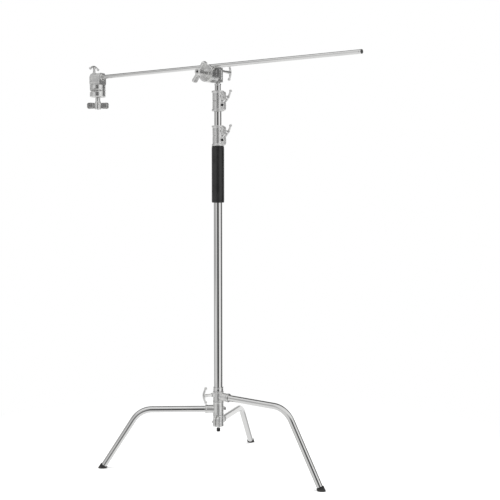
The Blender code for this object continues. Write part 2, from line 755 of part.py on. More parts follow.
def build_legs():
    reach = 0.7
    levels = {"ground_block": 0, "sole_block": FOOT_FLOOR - GAP, "trim_block": FOOT_FLOOR}
    blocks = [
        box(name, (-reach, -reach, -0.1), (reach, reach, level), None, helper=True)
        for name, level in levels.items()
    ]

    low_place = turn(LOW_LEG_AZIMUTH)
    build_low_casting(BASE, low_place)
    leg("low_leg", LOW_HUB_HEIGHT, BASE, low_place, *blocks)

    middle_place = turn(MIDDLE_LEG_AZIMUTH)
    middle = new_pivot("middle_leg_axis", Matrix.Translation((0, 0, CASTING_LEVELS[1])))
    sunk = Matrix.Translation((0, 0, -CASTING_LEVELS[1]))
    build_middle_casting(middle, sunk @ middle_place)
    leg("middle_leg", MIDDLE_HUB_HEIGHT, middle, sunk @ middle_place, *blocks)

    top_place = turn(TOP_LEG_AZIMUTH)
    top = new_pivot("top_leg_axis", IDENTITY)
    build_top_casting(top, top_place)
    leg("top_leg", TOP_HUB_HEIGHT, top, top_place, *blocks)

    bore = COLUMN_RADIUS + RUNNING_GAP
    seat = CASTING_LEVELS[3]
    low = CASTING_LEVELS[2] + GAP
    profile = [
        (SLIDE_RING_FLANGE, SLIDE_RING_TOP),
        (SLIDE_RING_FLANGE, seat),
        (SLIDE_RING_RADIUS, seat),
        (SLIDE_RING_RADIUS, low),
        (bore, low),
        (bore, SLIDE_RING_TOP),
    ]
    ring = turned("slide_ring", profile, new_pivot("slide_ring_axis", IDENTITY))
    finish(ring, BRIGHT_STEEL)

    axis = frame((0, 0, BASE_HANDLE_HEIGHT), heading(BASE_HANDLE_AZIMUTH), UP)
    t_handle("base_t_handle", SLIDE_RING_RADIUS + GAP, 30.4 * MM, BASE_HANDLE_REACH,
             new_pivot("base_t_handle_axis", axis), IDENTITY, 0)


# --- Grip heads and boom arm -----------------------------------------------------------


def build_receiver(prefix, pivot):
    """Block that takes a pin in its bore, with the main stud standing in its front."""
    name = prefix + "_receiver"
    shoulder = -4 * MM
    back_half = 13 * MM
    outline = [
        (-RECEIVER_HALF_WIDTH, RECEIVER_FRONT),
        (-RECEIVER_HALF_WIDTH, shoulder),
        (-back_half, RECEIVER_BACK),
        (back_half, RECEIVER_BACK),
        (RECEIVER_HALF_WIDTH, shoulder),
        (RECEIVER_HALF_WIDTH, RECEIVER_FRONT),
    ]
    lengthwise = frame((0, 0, 0), (1, 0, 0), (0, 1, 0))
    body = plate(name, fillet(outline, 3 * MM, 2, True), RECEIVER_LENGTH, pivot, lengthwise)
    backwards = frame((SET_SCREW_OFFSET, 0, 0), (0, 0, -1), (1, 0, 0))
    half = RECEIVER_LENGTH / 2 + MM
    join(body, hidden_rod(name + "_boss", 8 * MM, 14 * MM, 22 * MM, pivot, backwards, MEDIUM_SIDES))
    cut(
        body,
        hidden_rod(name + "_pin_bore", PIN_BORE, -half, half, pivot, lengthwise),
        hidden_rod(name + "_stud_hole", STUD_RADIUS + RUNNING_GAP, STUD_START - GAP,
                   RECEIVER_FRONT + MM, pivot, IDENTITY, MEDIUM_SIDES),
        hidden_rod(name + "_screw_hole", HANDLE_SHAFT_RADIUS + RUNNING_GAP, 2 * MM, 25 * MM, pivot,
                   backwards, SMALL_SIDES),
    )
    finish(body, CASTING)
    stud = rod(prefix + "_main_stud", STUD_RADIUS, STUD_START, STUD_END, pivot, IDENTITY,
               MEDIUM_SIDES)
    finish(stud, BRIGHT_STEEL)


def build_jaw(name, low, high, pocket, jaw_turn, pivot):
    """Disc with four rod notches of falling size across its face, and a spring pocket."""
    body = rod(name, JAW_RADIUS, low, high, pivot, IDENTITY, JAW_SIDES)
    round_edges(body, 1.2 * MM, 1)
    cuts = [
        hidden_rod(name + "_stud_hole", STUD_RADIUS + RUNNING_GAP, low - MM, high + MM, pivot,
                   IDENTITY, MEDIUM_SIDES),
        hidden_rod(name + "_pocket", SPRING_POCKET_RADIUS, *pocket, pivot, IDENTITY, MEDIUM_SIDES),
    ]
    for index, (radius, offset) in enumerate(NOTCHES):
        middle = heading(jaw_turn + 90 * index)
        centre = middle * offset + Vector((0, 0, JAW_FACE))
        along = frame(centre, Vector(UP).cross(middle), UP)
        cuts.append(hidden_rod(f"{name}_notch_{index}", radius, -45 * MM, 45 * MM, pivot, along,
                               NOTCH_SIDES))
    cut(body, *cuts)
    finish(body, CASTING)


def build_spring(prefix, pivot):
    turns = 3.5
    steps = 10
    low = JAW_FACE - SPRING_POCKET_DEPTH + 1.5 * MM
    high = JAW_FACE + SPRING_POCKET_DEPTH - 1.5 * MM
    count = int(turns * steps)
    path = []
    for index in range(count + 1):
        place = heading(360 * index / steps) * SPRING_RADIUS
        place.z = low + (high - low) * index / count
        path.append(place)
    spring = wire(prefix + "_jaw_spring", path, 0.9 * MM, pivot, IDENTITY, 1)
    finish(spring, SPRING_STEEL)


def build_head_handle(prefix, pivot, wing_turn):
    """Big T-handle: a long nut for the main stud, with two flat wings across its end."""
    name = prefix + "_t_handle"
    handle = rod(name, 10.5 * MM, HEAD_HANDLE_LOW, BOSS_LOW + 3 * MM, pivot, IDENTITY, MEDIUM_SIDES)
    boss = hidden_rod(name + "_boss", 12.5 * MM, BOSS_LOW, HEAD_HANDLE_HIGH, pivot, IDENTITY,
                      MEDIUM_SIDES)
    half = WING_LENGTH / 2
    half_width = WING_WIDTH / 2
    outline = [(-half, -half_width), (half, -half_width), (half, half_width), (-half, half_width)]
    upright = turn(wing_turn) @ frame((0, 0, WING_MIDDLE), (0, 1, 0), (1, 0, 0))
    wings = plate(name + "_wings", fillet(outline, 9 * MM, 4, True), WING_THICKNESS, pivot,
                  upright, True)
    join(handle, boss, wings)
    cut(
        handle,
        hidden_rod(name + "_thread", STUD_RADIUS + RUNNING_GAP, HEAD_HANDLE_LOW - MM,
                   SCREW_SEAT - 2 * MM, pivot, IDENTITY, MEDIUM_SIDES),
        hidden_rod(name + "_screw_seat", RETAINER_RADIUS + RUNNING_GAP, SCREW_SEAT,
                   HEAD_HANDLE_HIGH + MM, pivot, IDENTITY, MEDIUM_SIDES),
    )
    finish(handle, HANDLE)
    high = HEAD_HANDLE_HIGH + RUNNING_GAP
    screw = rod(prefix + "_retaining_screw", RETAINER_RADIUS, SCREW_SEAT + RUNNING_GAP, high, pivot,
                IDENTITY, MEDIUM_SIDES)
    cut(screw, hidden_rod(name + "_hexagon", 2.4 * MM, high - 3.4 * MM, high + MM, pivot, IDENTITY, 6))
    finish(screw, DARK_STEEL)


def build_head(prefix, place, jaw_turn, wing_turn, screw_reach, screw_turn):
    """Whole grip head in its own frame, with a pivot for each piece that turns."""
    fixed = new_pivot(prefix + "_frame", place)
    build_receiver(prefix, fixed)
    jaws = new_pivot(prefix + "_jaw_axis", place)
    pocket = (JAW_FACE - SPRING_POCKET_DEPTH, JAW_FACE + SPRING_POCKET_DEPTH)
    parting = RUNNING_GAP
    build_jaw(prefix + "_inner_jaw", JAW_BACK, JAW_FACE - parting, pocket, jaw_turn, jaws)
    build_spring(prefix, jaws)
    outer = new_pivot(prefix + "_outer_axis", place)
    build_jaw(prefix + "_outer_jaw", JAW_FACE + parting, JAW_FRONT, pocket, jaw_turn, outer)
    low = JAW_FRONT + GAP
    bore = STUD_RADIUS + RUNNING_GAP
    high = HEAD_HANDLE_LOW - GAP
    rim = 13 * MM
    profile = [(rim, high), (rim, low), (bore, low), (bore, high)]
    washer = turned(prefix + "_thrust_washer", profile, outer, sides=MEDIUM_SIDES)
    finish(washer, BRIGHT_STEEL)
    build_head_handle(prefix, new_pivot(prefix + "_handle_axis", place), wing_turn)
    backwards = frame((SET_SCREW_OFFSET, 0, 0), (0, 0, -1), (1, 0, 0))
    screw_pivot = new_pivot(prefix + "_set_screw_axis", place @ backwards)
    t_handle(prefix + "_set_screw", PIN_RADIUS + RUNNING_GAP, 24 * MM, screw_reach, screw_pivot,
             IDENTITY, screw_turn)


def build_boom_arm():
    pivot = new_pivot("boom_arm_axis", frame((0, ARM_Y, ARM_HEIGHT), (1, 0, 0), UP))
    arm = tube("boom_arm", ARM_RADIUS, ARM_RADIUS - ARM_BORE, ARM_LEFT, ARM_RIGHT, pivot)
    finish(arm, TUBE_STEEL)
    seat = ARM_RIGHT + GAP
    plug_radius = ARM_BORE - RUNNING_GAP
    profile = [
        (0, seat + 3 * MM),
        (ARM_RADIUS - MM, seat + 3 * MM),
        (ARM_RADIUS, seat + 2 * MM),
        (ARM_RADIUS, seat),
        (plug_radius, seat),
        (plug_radius, seat - 14 * MM),
        (0, seat - 14 * MM),
    ]
    finish(turned("boom_arm_end_plug", profile, pivot, sides=MEDIUM_SIDES, closed=False), NYLON)


# --- Assembly --------------------------------------------------------------------------


BASE = new_pivot("base_frame", IDENTITY)
build_column(BASE)
build_legs()
build_riser_2(new_pivot("riser_2_axis", IDENTITY))
build_riser_1(new_pivot("riser_1_axis", IDENTITY))
collar_handle("lower_collar_t_handle", LOWER_COLLAR_LOW)
collar_handle("upper_collar_t_handle", UPPER_COLLAR_LOW)
build_head("stand_head", frame((0, 0, STAND_HEAD_HEIGHT), (0, -1, 0), UP), 0, -36,
           STAND_SET_SCREW_REACH, 0)
build_head("arm_head", frame((ARM_HEAD_X, ARM_Y, ARM_HEIGHT), (0, 0, -1), (-1, 0, 0)), 270, -34,
           ARM_SET_SCREW_REACH, -81)
build_boom_arm()
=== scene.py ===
"""Looks for the C-stand: finer pieces over the CAD frame, their materials, light and camera.

Lengths are in metres. In the row frame the origin is on the ground under the middle of the
whole stand's box, +Z is up and +X runs along the boom arm towards its load end. Shapes are
worked out from the column's axis, and STAND carries them into that frame.
"""

import json
import math

import bmesh
import bpy
from mathutils import Matrix, Vector


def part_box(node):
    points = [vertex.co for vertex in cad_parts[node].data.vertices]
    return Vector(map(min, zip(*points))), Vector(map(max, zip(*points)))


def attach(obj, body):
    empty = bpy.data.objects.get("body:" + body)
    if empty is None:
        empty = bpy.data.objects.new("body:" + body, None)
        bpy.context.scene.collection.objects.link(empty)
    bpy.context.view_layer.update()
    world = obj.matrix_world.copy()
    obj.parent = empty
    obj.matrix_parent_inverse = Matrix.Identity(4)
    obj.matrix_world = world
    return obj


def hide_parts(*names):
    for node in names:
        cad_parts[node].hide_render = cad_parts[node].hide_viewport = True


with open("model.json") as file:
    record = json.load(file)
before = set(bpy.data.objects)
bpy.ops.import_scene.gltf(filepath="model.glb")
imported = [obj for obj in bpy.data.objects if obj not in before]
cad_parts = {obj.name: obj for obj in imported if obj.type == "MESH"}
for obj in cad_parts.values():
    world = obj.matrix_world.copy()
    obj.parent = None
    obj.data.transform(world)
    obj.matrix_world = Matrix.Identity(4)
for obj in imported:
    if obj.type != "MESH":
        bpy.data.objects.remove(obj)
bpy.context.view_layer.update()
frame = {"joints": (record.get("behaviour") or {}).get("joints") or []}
JOINTS = {joint["name"]: joint for joint in frame["joints"]}

MM = 0.001
IDENTITY = Matrix.Identity(4)
UP = Vector((0, 0, 1))
COLUMN = Vector((*JOINTS["stand_head_swivel"]["pos_m"][:2], 0))
STAND = Matrix.Translation(COLUMN)

# Fineness
SIDES = 96
FINE_SIDES = 48
SMALL_SIDES = 32
VOXEL = 0.7 * MM


# --- Material nodes --------------------------------------------------------------------


class Graph:
    """Short ways to add and link the nodes of one material."""

    def __init__(self, tree):
        self.tree = tree

    def node(self, kind, inputs=None, **settings):
        made = self.tree.nodes.new(kind)
        for name, value in settings.items():
            setattr(made, name, value)
        for name, value in (inputs or {}).items():
            self.feed(made.inputs[name], value)
        return made

    def feed(self, socket, value):
        if isinstance(value, bpy.types.NodeSocket):
            self.tree.links.new(value, socket)
        else:
            socket.default_value = value

    def noise(self, vector, scale, detail=4.0, roughness=0.55):
        inputs = {"Vector": vector, "Scale": scale, "Detail": detail, "Roughness": roughness}
        return self.node("ShaderNodeTexNoise", inputs).outputs["Fac"]

    def stretched(self, vector, scale):
        return self.node("ShaderNodeMapping", {"Vector": vector, "Scale": scale}).outputs[0]

    def span(self, value, low, high, to_low, to_high):
        inputs = {"Value": value, "From Min": low, "From Max": high, "To Min": to_low,
                  "To Max": to_high}
        return self.node("ShaderNodeMapRange", inputs).outputs[0]

    def mix(self, factor, first, second, blend="MIX"):
        made = self.node("ShaderNodeMix", data_type="RGBA", blend_type=blend)
        self.feed(made.inputs["Factor"], factor)
        self.feed(made.inputs[6], first)
        self.feed(made.inputs[7], second)
        return made.outputs[2]

    def maths(self, operation, first, second=0.0):
        made = self.node("ShaderNodeMath", operation=operation)
        self.feed(made.inputs[0], first)
        self.feed(made.inputs[1], second)
        return made.outputs[0]

    def bump(self, height, strength, distance, normal=None):
        inputs = {"Height": height, "Strength": strength, "Distance": distance}
        if normal is not None:
            inputs["Normal"] = normal
        return self.node("ShaderNodeBump", inputs).outputs[0]


def new_material(name):
    material = bpy.data.materials.new(name)
    material.use_nodes = True
    tree = material.node_tree
    graph = Graph(tree)
    shader = tree.nodes["Principled BSDF"]
    where = graph.node("ShaderNodeTexCoord").outputs["Object"]
    return material, graph, shader, where


def rgb(value, tint=(1, 1, 1)):
    return (value * tint[0], value * tint[1], value * tint[2], 1)


def polished(name, value, rough, grain, tint=(1, 1, 0.985)):
    """Polished tube: fine lines along the grain, faint smears, and a few hairline scratches."""
    material, graph, shader, where = new_material(name)
    lines = graph.noise(graph.stretched(where, grain), 1.0, 3.0)
    smears = graph.noise(where, 34.0, 5.0)
    cloud = graph.noise(where, 7.0, 2.0)
    scratch_at = graph.stretched(where, tuple(0.6 * part for part in reversed(grain)))
    scratches = graph.span(graph.noise(scratch_at, 1.0, 1.0), 0.70, 0.74, 0.0, 1.0)
    colour = graph.mix(graph.span(cloud, 0.35, 0.7, 0, 1), rgb(value, tint), rgb(value * 0.93))
    colour = graph.mix(graph.span(lines, 0.3, 0.7, 0.0, 0.25), colour, rgb(value * 0.8))
    graph.feed(shader.inputs["Base Color"], colour)
    shader.inputs["Metallic"].default_value = 1.0
    base = graph.span(smears, 0.35, 0.75, rough * 0.75, rough * 1.7)
    graph.feed(shader.inputs["Roughness"], graph.maths("ADD", base, graph.maths(
        "MULTIPLY", scratches, 0.12)))
    graph.feed(shader.inputs["Normal"], graph.bump(lines, 0.10, 0.02 * MM))
    return material


def cast_metal(name, value, rough, grain_size, grit, tint=(1, 1, 0.98)):
    """Tumbled casting: fine sand grain, shallow pits, brighter worn edges, painted shade in pits
    and hollows.
    """
    material, graph, shader, where = new_material(name)
    grain = graph.noise(where, grain_size, 5.0, 0.65)
    broad = graph.noise(where, 55.0, 4.0)
    cells = graph.node("ShaderNodeTexVoronoi", {"Vector": where, "Scale": grain_size * 0.35})
    pits = graph.span(cells.outputs["Distance"], 0.0, 0.28, 1.0, 0.0)
    edge = graph.node("ShaderNodeNewGeometry").outputs["Pointiness"]
    worn = graph.span(edge, 0.52, 0.60, 0.0, 1.0)
    # mask of concave places, which get painted shade below
    sunk = graph.span(edge, 0.40, 0.48, 1.0, 0.0)
    colour = graph.mix(graph.span(broad, 0.3, 0.7, 0, 1), rgb(value, tint), rgb(value * 0.86))
    # painted shade: colour darkened inside the pit dents
    colour = graph.mix(graph.maths("MULTIPLY", pits, 0.3), colour, rgb(value * 0.55))
    # painted shade: colour darkened in the concave hollows
    colour = graph.mix(graph.maths("MULTIPLY", sunk, 0.6), colour, rgb(value * 0.35))
    colour = graph.mix(graph.maths("MULTIPLY", worn, 0.7), colour, rgb(min(1.0, value * 1.2)))
    graph.feed(shader.inputs["Base Color"], colour)
    shader.inputs["Metallic"].default_value = 1.0
    base = graph.span(grain, 0.3, 0.7, rough * 0.8, rough * 1.25)
    graph.feed(shader.inputs["Roughness"], graph.maths("SUBTRACT", base, graph.maths(
        "MULTIPLY", worn, rough * 0.35)))
    fine = graph.bump(grain, grit, 0.05 * MM)
    graph.feed(shader.inputs["Normal"], graph.bump(pits, grit * 0.6, -0.05 * MM, fine))
    return material


def dark_finish(name, value, rough, grain_size, strength, depth, dust=0.0):
    """Black rubber, foam, plastic or oxide: grain in the surface, uneven shine, pale dust."""
    material, graph, shader, where = new_material(name)
    grain = graph.noise(where, grain_size, 4.0, 0.6)
    broad = graph.noise(where, 40.0, 4.0)
    cells = graph.node("ShaderNodeTexVoronoi", {"Vector": where, "Scale": grain_size * 0.5})
    colour = graph.mix(graph.span(broad, 0.3, 0.7, 0, 1), rgb(value), rgb(value * 1.9))
    colour = graph.mix(graph.span(grain, 0.5, 0.8, 0, 0.35), colour, rgb(value * 3.0))
    height = graph.node("ShaderNodeSeparateXYZ", {"Vector": where}).outputs["Z"]
    low = graph.span(height, 0.0, 14 * MM, dust, 0.0)
    colour = graph.mix(graph.maths("MULTIPLY", low, broad), colour, (0.32, 0.30, 0.28, 1))
    graph.feed(shader.inputs["Base Color"], colour)
    graph.feed(shader.inputs["Roughness"], graph.span(broad, 0.3, 0.7, rough * 0.85, rough * 1.1))
    first = graph.bump(cells.outputs["Distance"], strength, depth)
    graph.feed(shader.inputs["Normal"], graph.bump(grain, strength, depth * 0.6, first))
    return material


ALONG_Z = (900.0, 900.0, 5.0)
ALONG_X = (5.0, 900.0, 900.0)
EVERY_WAY = (420.0, 420.0, 420.0)
TUBE = polished("polished_tube", 0.80, 0.09, ALONG_Z)
ARM_TUBE = polished("polished_arm", 0.80, 0.11, ALONG_X)
LEG_TUBE = polished("polished_leg", 0.80, 0.12, EVERY_WAY)
PLATED = polished("plated_screw", 0.82, 0.13, EVERY_WAY)
CASTING = cast_metal("satin_casting_look", 0.86, 0.40, 1300.0, 0.20)
JAW_METAL = cast_metal("jaw_casting_look", 0.84, 0.30, 1500.0, 0.24)
HANDLE_METAL = cast_metal("handle_casting_look", 0.90, 0.34, 1100.0, 0.14)
SPRING = polished("spring_wire", 0.5, 0.28, EVERY_WAY)
OXIDE = dark_finish("black_oxide", 0.018, 0.38, 1600.0, 0.15, 0.04 * MM)
OXIDE.node_tree.nodes["Principled BSDF"].inputs["Metallic"].default_value = 0.7
FOAM = dark_finish("grip_foam_look", 0.008, 0.34, 900.0, 0.16, 0.08 * MM)
RUBBER = dark_finish("rubber_look", 0.007, 0.62, 700.0, 0.30, 0.15 * MM, dust=0.15)
NYLON = dark_finish("nylon_look", 0.03, 0.45, 1200.0, 0.12, 0.05 * MM)


# --- Frames and outlines ---------------------------------------------------------------


def frame_at(origin, z_axis, x_axis):
    """Frame with its Z and X along two perpendicular directions."""
    z = Vector(z_axis).normalized()
    x = Vector(x_axis).normalized()
    columns = Matrix((x, z.cross(x), z)).transposed().to_4x4()
    columns.translation = origin
    return columns


def turn(degrees):
    return Matrix.Rotation(math.radians(degrees), 4, "Z")


def raised(height):
    return Matrix.Translation((0, 0, height))


def heading(degrees):
    angle = math.radians(degrees)
    return Vector((math.cos(angle), math.sin(angle), 0))


def fillet(path, radius, steps, closed):
    """The path with every corner rounded, by less where its sides are short."""
    path = [Vector(point).to_3d() for point in path]
    rounded = []
    for index, corner in enumerate(path):
        if not closed and index in (0, len(path) - 1):
            rounded.append(corner)
            continue
        before = path[index - 1] - corner
        after = path[(index + 1) % len(path)] - corner
        half = before.angle(after) / 2
        if half > math.radians(85):
            rounded.append(corner)
            continue
        reach = min(radius / math.tan(half), 0.45 * before.length, 0.45 * after.length)
        back = before.normalized()
        ahead = after.normalized()
        centre = corner + (back + ahead).normalized() * reach / math.cos(half)
        first = corner + back * reach - centre
        last = corner + ahead * reach - centre
        sweep = math.pi - 2 * half
        for step in range(steps + 1):
            part = sweep * step / steps
            spoke = first * math.sin(sweep - part) + last * math.sin(part)
            rounded.append(centre + spoke / math.sin(sweep))
    return rounded


def soften(profile, radius=0.5 * MM, closed=True):
    """Turned profile with its corners broken by a small radius."""
    return [(point.x, point.y) for point in fillet(profile, radius, 3, closed)]


# --- Meshes ----------------------------------------------------------------------------


def mesh_of(bm, place=IDENTITY):
    bmesh.ops.recalc_face_normals(bm, faces=bm.faces)
    bmesh.ops.transform(bm, matrix=place, verts=bm.verts)
    mesh = bpy.data.meshes.new("shape")
    bm.to_mesh(mesh)
    bm.free()
    return mesh


def skin(bm, rings, closed=False):
    """Quads from each ring of points to the next. A ring of one point is a pole."""
    pairs = list(zip(rings, rings[1:]))
    if closed:
        pairs.append((rings[-1], rings[0]))
    for one, two in pairs:
        count = max(len(one), len(two))
        for index in range(count):
            after = (index + 1) % count
            corners = [one[index % len(one)], one[after % len(one)],
                       two[after % len(two)], two[index % len(two)]]
            corners = list(dict.fromkeys(corners))
            if len(corners) > 2:
                bm.faces.new(corners)


def lathe(profile, place=IDENTITY, sides=SIDES, closed=True, relief=None):
    """Turned solid from (radius, height) points. relief gives a new radius at an angle."""
    bm = bmesh.new()
    rings = []
    for radius, height in profile:
        if radius < 0.0001 * MM:
            rings.append([bm.verts.new((0, 0, height))])
            continue
        ring = []
        for side in range(sides):
            angle = 2 * math.pi * side / sides
            reach = relief(radius, height, angle) if relief else radius
            ring.append(bm.verts.new((reach * math.cos(angle), reach * math.sin(angle), height)))
        rings.append(ring)
    skin(bm, rings, closed)
    return mesh_of(bm, place)


def rod(radius, low, high, place=IDENTITY, sides=SIDES, edge=0.5 * MM):
    """Solid bar along local Z with broken edges."""
    profile = [(0, low), (radius, low), (radius, high), (0, high)]
    return lathe(soften(profile, edge, False), place, sides, closed=False)


def threaded(radius, low, high, thread, place=IDENTITY, pitch=1.25 * MM, sides=FINE_SIDES):
    """Screw along local Z, with a helical thread between two heights and a bevel at each end."""
    bevel = min(0.8 * MM, 0.2 * radius)
    depth = 0.28 * pitch
    rows = 8
    profile = [(0, low), (radius - bevel, low)]
    steps = max(1, round((thread[1] - thread[0]) / pitch * rows))
    if thread[0] > low + bevel:
        profile.append((radius, low + bevel))
    for step in range(steps + 1):
        height = thread[0] + (thread[1] - thread[0]) * step / steps
        inset = max(0, low + bevel - height)
        profile.append((radius - inset, height))
    profile += [(radius, high - bevel), (radius - bevel, high), (0, high)]
    profile.sort(key=lambda point: point[1])

    def groove(reach, height, angle):
        if not thread[0] <= height <= thread[1]:
            return reach
        phase = (height / pitch - angle / (2 * math.pi)) % 1
        fade = min(1, (height - thread[0]) / pitch, (thread[1] - height) / pitch)
        return reach - depth * fade * (1 - abs(2 * phase - 1)) * 1.6

    return lathe(profile, place, sides, False, groove)


def ball(radius, centre, place=IDENTITY):
    bm = bmesh.new()
    bmesh.ops.create_icosphere(bm, subdivisions=4, radius=radius,
                               matrix=Matrix.Translation(centre))
    return mesh_of(bm, place)


def prism(outline, low, high, place=IDENTITY):
    """Outline in local XY, extruded along Z."""
    bm = bmesh.new()
    rings = [[bm.verts.new((*Vector(point).to_2d(), height)) for point in outline]
             for height in (low, high)]
    bm.faces.new(rings[0])
    bm.faces.new(rings[1])
    skin(bm, rings)
    bmesh.ops.triangulate(bm, faces=bm.faces)
    return mesh_of(bm, place)


def block(low, high, place=IDENTITY):
    outline = [(low[0], low[1]), (high[0], low[1]), (high[0], high[1]), (low[0], high[1])]
    return prism(outline, low[2], high[2], place)


def sweep(path, radii, place=IDENTITY, sides=SMALL_SIDES, wall=None):
    """Bar, or a tube with that wall, along a path. radii is one radius or one for each point."""
    path = [Vector(point) for point in path]
    if not isinstance(radii, list):
        radii = [radii] * len(path)
    bm = bmesh.new()
    layers = [radii]
    if wall:
        layers.append([radius - wall for radius in radii])
    across = None
    rings = [[] for _ in layers]
    for index, point in enumerate(path):
        along = path[min(index + 1, len(path) - 1)] - path[max(index - 1, 0)]
        along.normalize()
        if across is None:
            across = along.orthogonal()
        across = (across - along * across.dot(along)).normalized()
        other = along.cross(across)
        for layer, made in zip(layers, rings):
            made.append([
                bm.verts.new(point + layer[index] * (
                    across * math.cos(2 * math.pi * side / sides)
                    + other * math.sin(2 * math.pi * side / sides)))
                for side in range(sides)])
    if wall:
        skin(bm, rings[0] + rings[1][::-1], True)
    else:
        ends = [[bm.verts.new(path[0])], [bm.verts.new(path[-1])]]
        skin(bm, ends[:1] + rings[0] + ends[1:])
    return mesh_of(bm, place)


# --- Joining, cutting and casting ------------------------------------------------------


def holder(mesh):
    obj = bpy.data.objects.new("draft", mesh)
    bpy.context.scene.collection.objects.link(obj)
    return obj


def baked(obj):
    """The object's mesh with its modifiers applied. The object is removed."""
    bpy.context.view_layer.update()
    graph = bpy.context.evaluated_depsgraph_get()
    mesh = bpy.data.meshes.new_from_object(obj.evaluated_get(graph))
    bpy.data.objects.remove(obj)
    return mesh


def boolean(mesh, operation, others, solver="MANIFOLD"):
    obj = holder(mesh)
    helpers = [holder(other) for other in others]
    for helper in helpers:
        modifier = obj.modifiers.new("step", "BOOLEAN")
        modifier.operation = operation
        modifier.solver = solver
        modifier.object = helper
    mesh = baked(obj)
    for helper in helpers:
        bpy.data.objects.remove(helper)
    return mesh


def together(meshes):
    """One mesh that holds all of these, still as separate shells."""
    bm = bmesh.new()
    for mesh in meshes:
        bm.from_mesh(mesh)
    joined = bpy.data.meshes.new("shape")
    bm.to_mesh(joined)
    bm.free()
    return joined


def remeshed(mesh, voxel, rounds):
    obj = holder(mesh)
    remesh = obj.modifiers.new("remesh", "REMESH")
    remesh.mode = "VOXEL"
    remesh.voxel_size = voxel
    if rounds:
        smooth = obj.modifiers.new("smooth", "SMOOTH")
        smooth.factor = 0.5
        smooth.iterations = rounds
    return baked(obj)


def cast(solids, soft_cuts=(), crisp_cuts=(), voxel=VOXEL, rounds=5):
    """Solids run together with filleted joints. Soft cuts get worn edges, crisp ones don't."""
    mesh = remeshed(together(solids), voxel, 0 if soft_cuts else rounds)
    if soft_cuts:
        mesh = remeshed(boolean(mesh, "DIFFERENCE", soft_cuts), voxel, rounds)
    if crisp_cuts:
        mesh = boolean(mesh, "DIFFERENCE", crisp_cuts)
    return mesh


def piece(name, mesh, material, body, *nodes, sharp=38):
    """Places a finished mesh on its body, in place of the CAD nodes it stands for."""
    mesh.transform(STAND)
    mesh.materials.clear()
    mesh.materials.append(material)
    mesh.name = name
    mesh.shade_smooth()
    mesh.set_sharp_from_angle(angle=math.radians(sharp))
    obj = bpy.data.objects.new(name, mesh)
    bpy.context.scene.collection.objects.link(obj)
    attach(obj, body)
    if nodes:
        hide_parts(*nodes)


def fine(node, mesh, material, body, sharp=38):
    """The finished piece that stands for one CAD node."""
    piece(node + "_fine", mesh, material, body, node, sharp=sharp)


# --- Screws, nuts and small T-handles --------------------------------------------------


def bore(radius, low, high, place=IDENTITY, sides=FINE_SIDES):
    return lathe([(0, low), (radius, low), (radius, high), (0, high)], place, sides, False)


def polygon(radius, sides=6):
    return [heading(360 * side / sides) * radius for side in range(sides)]


def hexagon(radius, low, high, place=IDENTITY, bevel=0.7 * MM):
    """Six-sided bar whose corners are turned away at both ends."""
    blank = prism(polygon(radius), low, high)
    reach = radius * 1.02
    profile = [(0, low), (reach - 2 * bevel, low), (reach, low + bevel), (reach, high - bevel),
               (reach - 2 * bevel, high), (0, high)]
    shape = boolean(blank, "INTERSECT", [lathe(profile, IDENTITY, FINE_SIDES, False)])
    shape.transform(place)
    return shape


def nut(radius, hole, low, high, place):
    return boolean(hexagon(radius, low, high, place), "DIFFERENCE",
                   [bore(hole, low - MM, high + MM, place, SMALL_SIDES)])


def hex_bolt(radius, tip, head, head_height, head_radius, place):
    shank = threaded(radius, tip, head + head_height / 2, (tip, head - 0.6 * MM), place, MM)
    return boolean(shank, "UNION", [hexagon(head_radius, head, head + head_height, place)])


def socket_bolt(radius, tip, head, head_height, head_radius, place):
    """Cap screw: knurled head with a hexagon socket, and a threaded shank."""
    high = head + head_height

    def knurl(reach, height, angle):
        if reach < head_radius * 0.97:
            return reach
        return reach - 0.12 * MM * (1 + math.cos(36 * angle))

    profile = soften([(0, head), (head_radius, head), (head_radius, high), (0, high)],
                     0.5 * MM, False)
    top = lathe(profile, place, 144, False, knurl)
    shank = threaded(radius, tip, head + MM, (tip, head - 2 * MM), place, MM)
    socket = prism(polygon(head_radius / 2), high - 2.5 * MM, high + MM, place)
    return boolean(boolean(shank, "UNION", [top]), "DIFFERENCE", [socket])


BAR_HALF_LENGTH = 28 * MM
BAR_SAG = 9 * MM
BALL_RADIUS = 5.8 * MM
SHAFT_RADIUS = 4 * MM
HANDLE_VOXEL = 0.55 * MM


def t_handle(node, tip, shoulder, reach, place, bar_turn, body):
    """Crescent bar with a ball at each end, cast round a threaded shaft."""
    across = place @ turn(bar_turn)
    steps = 24
    path, radii = [], []
    for step in range(steps + 1):
        part = 2 * step / steps - 1
        path.append((part * BAR_HALF_LENGTH, 0, reach - BAR_SAG * part * part))
        radii.append((5.0 - 1.5 * abs(part)) * MM)
    waist = shoulder + 0.4 * (reach - shoulder)
    hub_profile = [(0, shoulder), (5.6 * MM, shoulder), (5.6 * MM, shoulder + 2 * MM),
                   (4.9 * MM, waist), (6.6 * MM, reach - 2 * MM), (4 * MM, reach + 2.6 * MM),
                   (0, reach + 2.8 * MM)]
    hub = lathe(soften(hub_profile, 1.2 * MM, False), place, FINE_SIDES, False)
    solids = [hub, sweep(path, radii, across)]
    solids += [ball(BALL_RADIUS, path[index], across) for index in (0, -1)]
    piece(node + "_casting", cast(solids, voxel=HANDLE_VOXEL), HANDLE_METAL, body, node)
    shaft = threaded(SHAFT_RADIUS, tip, shoulder + MM, (tip, shoulder - MM), place)
    piece(node + "_shaft", shaft, PLATED, body)


# --- Column, risers and collars --------------------------------------------------------

